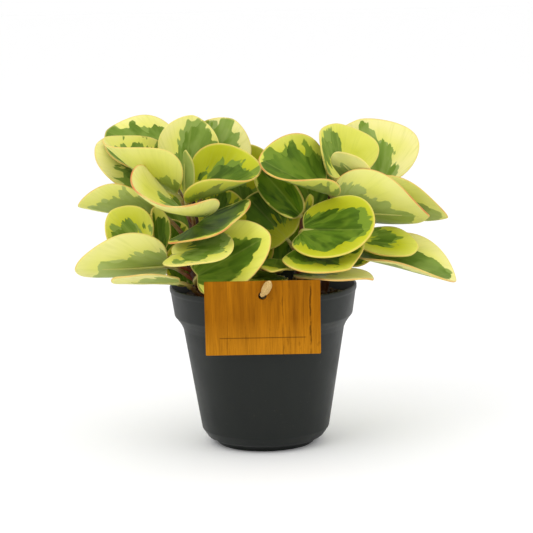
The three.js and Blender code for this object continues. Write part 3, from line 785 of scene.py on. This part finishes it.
def soil():
    """The peat's body, with a lumpy top."""
    gap = 0.4
    wall = COLLAR_RADIUS - WALL - gap
    outline = [
        (0, FLOOR_THICKNESS + gap),
        (FOOT_RADIUS - 3.4, FLOOR_THICKNESS + gap),
        (WAIST_RADIUS - WALL - gap, WAIST_HEIGHT + 2.6),
        (SHOULDER_RADIUS - WALL - gap, SHOULDER_HEIGHT + 0.9),
        (wall - 1.6, COLLAR_HEIGHT - 0.8),
        (wall, COLLAR_HEIGHT + 1.2),
        (wall + 1.2, SOIL_TOP - 1.5),
    ]
    outline += [(radius, SOIL_TOP) for radius in np.arange(wall + 0.6, 1.5, -1.8)]
    outline.append((0, SOIL_TOP))
    points, faces = turned(outline, 160)
    points = [(x, y, z + soil_relief(x, y) if z > SOIL_TOP - 1 else z) for x, y, z in points]
    piece = mesh_object("peat_body", points, faces)
    piece.data.materials.append(MATERIALS["soil"])
    settle(piece, "soil", "potting_soil")


def soil_relief(x, y):
    """How high the peat stands over its mean height at a place."""
    lump = noise.noise(Vector((x / 17, y / 17, 3)))
    clod = noise.noise(Vector((x / 5, y / 5, 8)))
    grain = noise.noise(Vector((x / 2, y / 2, 1)))
    return SOIL_RELIEF * (0.9 * lump + 0.5 * clod + 0.3 * grain)


def crumbs():
    """Loose crumbs and bits of root on the peat, in one mesh."""
    chance = random.Random(CRUMB_SEED)
    ball = bmesh.new()
    bmesh.ops.create_icosphere(ball, subdivisions=2, radius=1)
    ball_points = [vertex.co.copy() for vertex in ball.verts]
    ball_faces = [tuple(vertex.index for vertex in face.verts) for face in ball.faces]
    ball.free()
    points = []
    faces = []
    for index in range(CRUMBS):
        radius = CRUMB_SPREAD * math.sqrt(chance.random())
        angle = chance.uniform(0, 2 * math.pi)
        x, y = radius * math.cos(angle), radius * math.sin(angle)
        size = chance.choice(CRUMB_SIZES)
        root_bit = index % 7 == 0
        scale = Vector(ROOT_BIT_SIZE if root_bit else (size, size * chance.uniform(0.6, 1), size * 0.7))
        turn = Matrix.Rotation(chance.uniform(0, math.pi), 3, "Z")
        turn @= Matrix.Rotation(chance.uniform(-0.3, 0.3), 3, "Y")
        centre = Vector((x, y, SOIL_TOP + soil_relief(x, y) + scale.z * 0.4))
        start = len(points)
        for place in ball_points:
            rough = 1 + 0.35 * noise.noise(place * 1.7 + Vector((index, 0, 0)))
            points.append(centre + turn @ (place * scale * rough))
        faces += [tuple(corner + start for corner in face) for face in ball_faces]
    piece = mesh_object("peat_crumbs", points, faces)
    piece.data.materials.append(MATERIALS["crumbs"])
    settle(piece, "soil")


def card_place(x, y, out):
    """A place on the card: x to the right and y up from its hole, out from its middle plane, in mm."""
    lean = Matrix.Rotation(math.pi / 2 + CARD_LEAN, 3, "X")
    return Vector(CARD_HOLE_PLACE) + lean @ Vector((x, y, CARD_THICKNESS / 2 + out))


def card_border():
    """The card's edge, all the way round, with small round corners."""
    right = CARD_WIDTH / 2 - CARD_CORNER
    top = CARD_HOLE_BELOW_TOP - CARD_CORNER
    bottom = CARD_HOLE_BELOW_TOP - CARD_HEIGHT + CARD_CORNER
    centres = [Vector(place) for place in ((right, bottom), (right, top), (-right, top), (-right, bottom))]
    border = []
    for index, centre in enumerate(centres):
        angles = [math.radians(90 * index - 90 + 18 * step) for step in range(6)]
        ways = [Vector((math.cos(angle), math.sin(angle))) * CARD_CORNER for angle in angles]
        border += [centre + way for way in ways]
        next_start = centres[(index + 1) % 4] + ways[-1]
        border += [border[-1].lerp(next_start, step / 20) for step in range(1, 20)]
    return border


def card():
    """The thin card with its hole, its edges barely rounded."""
    ease = 0.15
    half = CARD_THICKNESS / 2
    border = card_border()
    middle_y = CARD_HOLE_BELOW_TOP - CARD_HEIGHT / 2
    shrink = 1 - ease / (CARD_HEIGHT / 2)
    eased = [(x * shrink, middle_y + (y - middle_y) * shrink) for x, y in border]
    directions = [Vector(place).normalized() for place in border]
    hole = [way * CARD_HOLE_RADIUS for way in directions]
    wide_hole = [way * (CARD_HOLE_RADIUS + ease) for way in directions]
    loops = [
        (border, -half + ease), (border, half - ease), (eased, half), (wide_hole, half),
        (hole, half - ease), (hole, ease - half), (wide_hole, -half), (eased, -half),
    ]
    points = [card_place(x, y, out) for loop, out in loops for x, y in loop]
    flat = [(x, y, 0) for loop, _ in loops for x, y in loop]
    count = len(border)
    faces = []
    for ring in range(len(loops)):
        low = ring * count
        high = (ring + 1) % len(loops) * count
        for index in range(count):
            after = (index + 1) % count
            faces.append((low + index, low + after, high + after, high + index))
    piece = mesh_object("tag_card_print", points, faces, smooth=False)
    write_numbers(piece, "print_place", flat)
    piece.data.materials.append(MATERIALS["card"])
    settle(piece, "card", "tag_card")


def peg():
    """The wooden peg: its shaft over the rim, and its long round head in front of the card."""
    path = smooth_route(PEG_ROUTE, 6)
    shaft_points, shaft_faces = sweep(path, [PEG_RADIUS] * len(path), 20)
    way = Vector(PEG_HEAD_WAY).normalized()
    half = PEG_HEAD_LENGTH / 2
    spots = np.linspace(-0.88, 0.88, 17)
    head_path = [Vector(PEG_HEAD_PLACE) + way * (half * spot) for spot in spots]
    head_radii = [PEG_HEAD_RADIUS * (1 - abs(spot) ** 3.2) ** 0.5 for spot in spots]
    head_points, head_faces = sweep(head_path, head_radii, 28)
    count = len(shaft_points)
    head_faces = [tuple(corner + count for corner in face) for face in head_faces]
    piece = mesh_object("tag_peg_wood", [*shaft_points, *head_points], shaft_faces + head_faces)
    piece.data.materials.append(MATERIALS["peg"])
    settle(piece, "peg", "tag_peg")


# Materials

def add(tree, kind, sockets=None, **fields):
    """Adds a shader node, sets its fields, and sets or links its sockets."""
    new = tree.nodes.new("ShaderNode" + kind)
    for field, value in fields.items():
        setattr(new, field, value)
    for socket, value in (sockets or {}).items():
        if isinstance(value, bpy.types.NodeSocket):
            tree.links.new(value, new.inputs[socket])
        else:
            new.inputs[socket].default_value = value
    return new


def start_material(name):
    """A new material and its empty tree."""
    material = bpy.data.materials.new(name)
    material.use_nodes = True
    material.node_tree.nodes.clear()
    return material, material.node_tree


def mix(tree, share, first, second):
    """A blend of two colours, each a hex code or the colour that another node gives."""
    first, second = [rgb(colour) if isinstance(colour, str) else colour for colour in (first, second)]
    return add(tree, "Mix", {0: share, 6: first, 7: second}, data_type="RGBA").outputs[2]


def set_ramp(node, stops):
    """Gives a colour ramp its stops, a hex code for each place."""
    elements = node.color_ramp.elements
    while len(elements) < len(stops):
        elements.new(1)
    for element, (place, code) in zip(elements, sorted(stops.items())):
        element.position = place
        element.color = rgb(code)


def end_material(tree, **sockets):
    """The surface itself, from the colour, roughness and relief that the other nodes give."""
    named = {key.replace("_", " "): value for key, value in sockets.items()}
    surface = add(tree, "BsdfPrincipled", named)
    add(tree, "OutputMaterial", {"Surface": surface.outputs[0]})


def drawn_noise(tree, place, stretch, detail, seed=0, roughness=0.5):
    """Noise over a place. stretch says how many turns it makes in one unit of each direction."""
    drawn = add(tree, "VectorMath", {0: place, 1: stretch, 2: (0, 0, seed)}, operation="MULTIPLY_ADD")
    sockets = {"Vector": drawn.outputs[0], "Scale": 1, "Detail": detail, "Roughness": roughness}
    return add(tree, "TexNoise", sockets).outputs[0]


def variegated_blade():
    """A waxy leaf: a green heart that fans out from the base, a yellow field and a thin red margin."""
    material, tree = start_material("variegated_leaf")
    green = add(tree, "Attribute", attribute_name="green").outputs["Fac"]
    edge = add(tree, "Attribute", attribute_name="edge").outputs["Fac"]
    under = add(tree, "Attribute", attribute_name="under").outputs["Fac"]
    place = add(tree, "Attribute", attribute_name="fan").outputs["Vector"]
    tint = add(tree, "Attribute", attribute_name="tint").outputs["Vector"]
    deep, pale, red = add(tree, "SeparateXYZ", {0: tint}).outputs
    body = add(tree, "TexCoord").outputs["Object"]
    fan, off_midrib = fan_coordinates(tree, place)

    # The heart's border runs out in blunt lobes and fingers. A paler layer reaches a little farther.
    heart_mask = green_layer(tree, green, fan, 0, 4.5, 0.3)
    pale_mask = green_layer(tree, green, fan, 41, 6, 0.6)

    # The field is yellow with faint streaks, creamier or greener from leaf to leaf. How creamy it is, from
    # each leaf's pale share, is partly the leaf's own tone and partly painted light and shade: cream on
    # the lit leaves on top, dark olive on the shaded ones inside the plant.
    cloud = add(tree, "TexNoise", {"Vector": body, "Scale": 45, "Detail": 2}).outputs[0]
    cloud_shift = add(tree, "MapRange", {0: cloud, 3: -0.2, 4: 0.2}).outputs[0]
    rim_shift = add(tree, "MapRange", {0: edge, 1: 0, 2: 14, 3: 0.16, 4: -0.16}).outputs[0]
    shift = add(tree, "Math", {0: cloud_shift, 1: rim_shift}, operation="ADD").outputs[0]
    pale_place = add(tree, "Math", {0: pale, 1: shift}, operation="ADD", use_clamp=True).outputs[0]
    field = add(tree, "ValToRGB", {0: pale_place})
    set_ramp(field, {0: "#a6aa0e", 0.3: "#c5c82c", 0.6: "#e0df66", 1: "#eee79a"})
    hairs = drawn_noise(tree, fan, (24, 0.05, 1), 2, 7)
    hair_mask = add(tree, "MapRange", {0: hairs, 1: 0.5, 2: 0.75, 3: 0, 4: 0.25}).outputs[0]
    streaked = mix(tree, hair_mask, field.outputs[0], "#bcc24a")

    # The heart is grey-green where one layer of cells is green, and deep green where all of them are. How
    # dark all these greens run, from each leaf's deep share, is partly the leaf's own tone and partly
    # painted shade: darkest on the shaded leaves inside the plant, lightest on the lit ones on top.
    grey_green = mix(tree, deep, "#9bae60", "#6f8c0e")
    mid_green = mix(tree, deep, "#8fa74c", "#4b6e00")
    dark_green = mix(tree, deep, "#779532", "#274300")
    streaks = drawn_noise(tree, fan, (6, 0.03, 1), 3, 29)
    streak_mask = add(tree, "MapRange", {0: streaks, 1: 0.4, 2: 0.64}).outputs[0]
    shaded = mix(tree, streak_mask, mid_green, dark_green)
    patches = drawn_noise(tree, fan, (4, 0.07, 1), 2, 17)
    patch_mask = add(tree, "MapRange", {0: patches, 1: 0.48, 2: 0.6, 3: 0, 4: 0.5}).outputs[0]
    heart = mix(tree, patch_mask, shaded, grey_green)
    with_pale = mix(tree, pale_mask, streaked, grey_green)
    with_heart = mix(tree, heart_mask, with_pale, heart)

    # The midrib is a faint pale line.
    beside = add(tree, "Math", {0: off_midrib}, operation="ABSOLUTE").outputs[0]
    rib_mask = add(tree, "MapRange", {0: beside, 1: 0.8, 2: 0.1, 3: 0, 4: 0.12}).outputs[0]
    with_rib = mix(tree, rib_mask, with_heart, "#c0c66a")

    # The underside is paler, and the margin is a narrow cream band with a thin red line.
    under_share = add(tree, "Math", {0: under, 1: 0.3}, operation="MULTIPLY").outputs[0]
    with_under = mix(tree, under_share, with_rib, "#cdd07e")
    band_mask = add(tree, "MapRange", {0: edge, 1: 1.3, 2: 0.4, 3: 0, 4: 0.55}).outputs[0]
    with_band = mix(tree, band_mask, with_under, "#e3d977")
    red_cloud = add(tree, "TexNoise", {"Vector": body, "Scale": 70, "Detail": 2}).outputs[0]
    red_patches = add(tree, "MapRange", {0: red_cloud, 1: 0.3, 2: 0.7, 3: 0.3, 4: 1}).outputs[0]
    red_amount = add(tree, "Math", {0: red_patches, 1: red}, operation="MULTIPLY").outputs[0]
    red_mask = add(tree, "MapRange", {0: edge, 1: 0.7, 2: 0.1, 3: 0, 4: red_amount}).outputs[0]
    colour = mix(tree, red_mask, with_band, "#cf6f3f")

    # The streaks and fine cells give the wax a faint relief.
    cells = add(tree, "TexNoise", {"Vector": body, "Scale": 1400, "Detail": 2}).outputs[0]
    relief = add(tree, "Math", {0: cells, 1: 0.4, 2: hairs}, operation="MULTIPLY_ADD").outputs[0]
    bump = add(tree, "Bump", {"Height": relief, "Strength": 0.3, "Distance": 0.0003}).outputs[0]
    smudge = add(tree, "TexNoise", {"Vector": body, "Scale": 120, "Detail": 3}).outputs[0]
    gloss = add(tree, "MapRange", {0: smudge, 3: 0.36, 4: 0.48}).outputs[0]
    roughness = add(tree, "Math", {0: under, 1: 0.14, 2: gloss}, operation="MULTIPLY_ADD").outputs[0]
    end_material(
        tree, Base_Color=colour, Roughness=roughness, Normal=bump, Subsurface_Weight=0.2,
        Subsurface_Radius=(1, 1, 0.25), Subsurface_Scale=0.0012, Specular_IOR_Level=0.1,
    )
    return material


def fan_coordinates(tree, place):
    """The angle about the leaf's base in radians, the distance from it in mm and the leaf's own number."""
    ahead, across, number = add(tree, "SeparateXYZ", {0: place}).outputs
    angle = add(tree, "Math", {0: across, 1: ahead}, operation="ARCTAN2").outputs[0]
    flat = add(tree, "CombineXYZ", {0: ahead, 1: across}).outputs[0]
    distance = add(tree, "VectorMath", {0: flat}, operation="LENGTH").outputs["Value"]
    return add(tree, "CombineXYZ", {0: angle, 1: distance, 2: number}).outputs[0], across


def green_layer(tree, green, fan, seed, spread, softness):
    """Where a layer of cells is green. spread is how far its lobes run in and out, in mm."""
    broad = drawn_noise(tree, fan, (3.2, 0.05, 1), 2, seed)
    lobe_sockets = {0: broad, 1: 0.36, 2: 0.64, 3: -spread, 4: spread}
    lobes = add(tree, "MapRange", lobe_sockets, interpolation_type="SMOOTHSTEP").outputs[0]
    fine = drawn_noise(tree, fan, (9, 0.08, 1), 3, seed + 5)
    fingers = add(tree, "MapRange", {0: fine, 1: 0.3, 2: 0.7, 3: -3, 4: 3}).outputs[0]
    with_lobes = add(tree, "Math", {0: green, 1: lobes}, operation="ADD").outputs[0]
    with_fingers = add(tree, "Math", {0: with_lobes, 1: fingers}, operation="ADD").outputs[0]
    return add(tree, "MapRange", {0: with_fingers, 1: -softness, 2: softness}).outputs[0]


def leaf_stalk():
    """A juicy stalk: red-brown at the stem and pale green under the blade."""
    material, tree = start_material("leaf_stalk_skin")
    grown = add(tree, "Attribute", attribute_name="grown").outputs["Fac"]
    body = add(tree, "TexCoord").outputs["Object"]
    patches = add(tree, "TexNoise", {"Vector": body, "Scale": 260, "Detail": 3}).outputs[0]
    shifted = add(tree, "MapRange", {0: patches, 3: -0.22, 4: 0.22}).outputs[0]
    place = add(tree, "Math", {0: grown, 1: shifted}, operation="ADD").outputs[0]
    share = add(tree, "MapRange", {0: place, 1: 0.25, 2: 0.72}).outputs[0]
    colour = mix(tree, share, "#7a3a1c", "#b3b45a")
    bump = add(tree, "Bump", {"Height": patches, "Strength": 0.3, "Distance": 0.0002}).outputs[0]
    end_material(
        tree, Base_Color=colour, Roughness=0.4, Normal=bump, Subsurface_Weight=0.15,
        Subsurface_Radius=(1, 0.6, 0.3), Subsurface_Scale=0.001,
    )
    return material


def stem_skin():
    """A dark red-brown stem with pale flecks and darker rings where the stalks leave it."""
    material, tree = start_material("stem_skin")
    joint = add(tree, "Attribute", attribute_name="joint").outputs["Fac"]
    body = add(tree, "TexCoord").outputs["Object"]
    streaks = drawn_noise(tree, body, (700, 700, 210), 4)
    fleck = add(tree, "TexVoronoi", {"Vector": body, "Scale": 420}).outputs["Distance"]
    fleck_mask = add(tree, "MapRange", {0: fleck, 1: 0.16, 2: 0.08, 3: 0, 4: 0.5}).outputs[0]
    bark = mix(tree, streaks, "#2e170a", "#6a3517")
    flecked = mix(tree, fleck_mask, bark, "#a9864e")
    joint_mask = add(tree, "Math", {0: joint, 1: 0.6}, operation="MULTIPLY").outputs[0]
    colour = mix(tree, joint_mask, flecked, "#24110a")
    bump = add(tree, "Bump", {"Height": streaks, "Strength": 0.5, "Distance": 0.0004}).outputs[0]
    end_material(tree, Base_Color=colour, Roughness=0.45, Normal=bump)
    return material


def pot_plastic():
    """Satin anthracite polypropylene, with the dull marks that handling and watering leave."""
    material, tree = start_material("anthracite_polypropylene")
    body = add(tree, "TexCoord").outputs["Object"]
    streaks = drawn_noise(tree, body, (60, 60, 7.2), 4)
    marks = add(tree, "TexNoise", {"Vector": body, "Scale": 35, "Detail": 5, "Roughness": 0.65}).outputs[0]
    dust = add(tree, "TexNoise", {"Vector": body, "Scale": 900, "Detail": 2}).outputs[0]
    dust_mask = add(tree, "MapRange", {0: dust, 1: 0.72, 2: 0.78, 3: 0, 4: 0.35}).outputs[0]
    plastic = mix(tree, streaks, "#151816", "#1b1f1c")
    colour = mix(tree, dust_mask, plastic, "#55534b")
    roughness = add(tree, "MapRange", {0: marks, 1: 0.3, 2: 0.7, 3: 0.38, 4: 0.54}).outputs[0]
    grain = add(tree, "TexNoise", {"Vector": body, "Scale": 2600, "Detail": 2}).outputs[0]
    bump = add(tree, "Bump", {"Height": grain, "Strength": 0.2, "Distance": 0.0001}).outputs[0]
    end_material(tree, Base_Color=colour, Roughness=roughness, Normal=bump, Specular_IOR_Level=0.22)
    return material


def peat(name, dark, light):
    """Damp peat: dark brown, with paler fibres."""
    material, tree = start_material(name)
    body = add(tree, "TexCoord").outputs["Object"]
    grain = add(tree, "TexNoise", {"Vector": body, "Scale": 600, "Detail": 6, "Roughness": 0.7}).outputs[0]
    fibres = drawn_noise(tree, body, (900, 225, 900), 2)
    fibre_mask = add(tree, "MapRange", {0: fibres, 1: 0.64, 2: 0.7, 3: 0, 4: 0.7}).outputs[0]
    earth = mix(tree, grain, dark, light)
    colour = mix(tree, fibre_mask, earth, "#8a6436")
    bump = add(tree, "Bump", {"Height": grain, "Strength": 0.9, "Distance": 0.001}).outputs[0]
    end_material(tree, Base_Color=colour, Roughness=0.95, Normal=bump)
    return material


def wood_print():
    """A card printed with an upright orange-brown wood grain, a few dark cracks and one thin rule."""
    material, tree = start_material("wood_grain_card")
    place = add(tree, "Attribute", attribute_name="print_place").outputs["Vector"]
    right, up, _ = add(tree, "SeparateXYZ", {0: place}).outputs

    # Broad bands of lighter and darker wood, paler low on the card, under the grain's fine dark lines.
    broad = drawn_noise(tree, place, (0.12, 0.012, 1), 2, roughness=0.6)
    band_mask = add(tree, "MapRange", {0: broad, 1: 0.35, 2: 0.65}).outputs[0]
    bands = mix(tree, band_mask, "#875105", "#a96a0a")
    pale_sockets = {0: up, 1: PALE_START, 2: PALE_END, 3: 0, 4: PALE_SHARE}
    pale_mask = add(tree, "MapRange", pale_sockets).outputs[0]
    wood = mix(tree, pale_mask, bands, "#bf7f19")
    fine = drawn_noise(tree, place, (2.2, 0.05, 1), 4, roughness=0.6)
    fine_mask = add(tree, "MapRange", {0: fine, 1: 0.46, 2: 0.66, 3: 0, 4: 0.5}).outputs[0]
    grained = mix(tree, fine_mask, wood, "#6d3f02")
    knots = drawn_noise(tree, place, (0.25, 0.12, 1), 3, roughness=0.6)
    knot_mask = add(tree, "MapRange", {0: knots, 1: 0.62, 2: 0.74, 3: 0, 4: 0.4}).outputs[0]
    print_colour = mix(tree, knot_mask, grained, "#5f3402")

    # Cracks run from top to bottom, and come and go with the grain.
    sway = drawn_noise(tree, place, (0.01, 0.09, 1), 3, roughness=0.6)
    sway_reach = add(tree, "MapRange", {0: sway, 3: -0.9, 4: 0.9}).outputs[0]
    swayed = add(tree, "Math", {0: right, 1: sway_reach}, operation="ADD").outputs[0]
    breaks = drawn_noise(tree, place, (0.05, 0.11, 1), 4, roughness=0.6)
    shown = add(tree, "MapRange", {0: breaks, 1: 0.38, 2: 0.56, 3: 0.15, 4: 1}).outputs[0]
    for crack_x, half_wide, strength in CRACKS:
        mask = line_mask(tree, swayed, crack_x, half_wide, half_wide, strength)
        broken = add(tree, "Math", {0: mask, 1: shown}, operation="MULTIPLY").outputs[0]
        print_colour = mix(tree, broken, print_colour, "#2e1804")

    # A thin rule crosses the lower part of the card.
    along_rule = line_mask(tree, right, RULE_MIDDLE, RULE_HALF_LENGTH, 1, 0.8)
    over_rule = line_mask(tree, up, RULE_HEIGHT, RULE_HALF_WIDTH, RULE_HALF_WIDTH, 1)
    rule_mask = add(tree, "Math", {0: along_rule, 1: over_rule}, operation="MULTIPLY").outputs[0]
    colour = mix(tree, rule_mask, print_colour, "#4a2a06")
    bump = add(tree, "Bump", {"Height": fine, "Strength": 0.15, "Distance": 0.0001}).outputs[0]
    end_material(tree, Base_Color=colour, Roughness=0.62, Normal=bump, Specular_IOR_Level=0.04)
    return material


def line_mask(tree, value, middle, half_wide, softness, strength):
    """A line where a value is near the middle. It fades over the softness inside each edge."""
    off = add(tree, "Math", {0: value, 1: middle}, operation="SUBTRACT").outputs[0]
    away = add(tree, "Math", {0: off}, operation="ABSOLUTE").outputs[0]
    inside = half_wide - softness
    return add(tree, "MapRange", {0: away, 1: half_wide, 2: inside, 3: 0, 4: strength}).outputs[0]


def raw_wood():
    """Pale splintery wood, its fibres along the peg."""
    material, tree = start_material("raw_pale_wood")
    body = add(tree, "TexCoord").outputs["Object"]
    fibre_turn = (math.radians(-41), 0, math.radians(27))
    along_peg = add(tree, "Mapping", {"Vector": body, "Rotation": fibre_turn}, vector_type="TEXTURE")
    fibres = drawn_noise(tree, along_peg.outputs[0], (2200, 2200, 264), 4, roughness=0.6)
    fibre_mask = add(tree, "MapRange", {0: fibres, 1: 0.35, 2: 0.65}).outputs[0]
    colour = mix(tree, fibre_mask, "#a9823f", "#dcbd7c")
    bump = add(tree, "Bump", {"Height": fibres, "Strength": 0.6, "Distance": 0.0004}).outputs[0]
    end_material(tree, Base_Color=colour, Roughness=0.8, Normal=bump)
    return material


def studio_paper():
    """The seamless white paper that the pot stands on."""
    material, tree = start_material("white_paper")
    body = add(tree, "TexCoord").outputs["Object"]
    tooth = add(tree, "TexNoise", {"Vector": body, "Scale": 900}).outputs[0]
    bump = add(tree, "Bump", {"Height": tooth, "Strength": 0.05, "Distance": 0.0002}).outputs[0]
    end_material(tree, Base_Color=rgb("#ffffff"), Roughness=0.9, Normal=bump)
    return material


# Stage

def floor():
    """The paper under the pot and far behind it."""
    corners = [(-4000, -4000, 0), (4000, -4000, 0), (4000, 12000, 0), (-4000, 12000, 0)]
    piece = mesh_object("studio_floor", corners, [(0, 1, 2, 3)])
    piece.data.materials.append(studio_paper())


def light(name, place, size, power):
    """A soft square lamp that points at the plant."""
    data = bpy.data.lights.new(name, "AREA")
    data.size = size
    data.energy = power
    lamp = bpy.data.objects.new(name, data)
    lamp.location = metres(place)
    towards = Vector(metres((0, 0, 120))) - lamp.location
    lamp.rotation_euler = towards.to_track_quat("-Z", "Y").to_euler()
    bpy.context.collection.objects.link(lamp)


def studio():
    """White all round, with a soft lamp from the left and a weaker one from the right."""
    world = bpy.data.worlds.new("studio")
    world.use_nodes = True
    background = world.node_tree.nodes["Background"]
    background.inputs["Color"].default_value = (1, 1, 1, 1)
    background.inputs["Strength"].default_value = 1
    bpy.context.scene.world = world
    light("key", (-700, -900, 1100), 0.9, 5)
    light("fill", (900, -800, 700), 0.9, 2)
    bpy.context.scene.view_settings.view_transform = "Standard"


def camera():
    """The camera at the photograph's place and angle."""
    data = bpy.data.cameras.new("camera")
    data.lens = CAMERA_LENS
    data.sensor_width = 36
    data.clip_start = 0.05
    data.clip_end = 100
    piece = bpy.data.objects.new("camera", data)
    place = Vector(metres(CAMERA_PLACE))
    forward = (Vector(metres(CAMERA_AIM)) - place).normalized()
    right = forward.cross(Vector((0, 0, 1))).normalized()
    up = right.cross(forward)
    level_right = right * math.cos(CAMERA_ROLL) - up * math.sin(CAMERA_ROLL)
    level_up = right * math.sin(CAMERA_ROLL) + up * math.cos(CAMERA_ROLL)
    turn = Matrix((level_right, level_up, -forward)).transposed().to_4x4()
    piece.matrix_world = Matrix.Translation(place) @ turn
    bpy.context.collection.objects.link(piece)
    bpy.context.scene.camera = piece


MATERIALS = {
    "blade": variegated_blade(),
    "stalk": leaf_stalk(),
    "stem": stem_skin(),
    "pot": pot_plastic(),
    "soil": peat("damp_peat", "#180f08", "#3c2714"),
    "crumbs": peat("peat_crumbs", "#26180c", "#5a3c20"),
    "card": wood_print(),
    "peg": raw_wood(),
}

camera()
studio()
floor()
pot()
soil()
crumbs()
card()
peg()
for stem_name, stem_row in STEMS.items():
    stem(stem_name, stem_row)
for leaf_seed, (leaf_name, leaf_row) in enumerate(LEAVES.items()):
    leaf(leaf_name, leaf_row, leaf_seed)
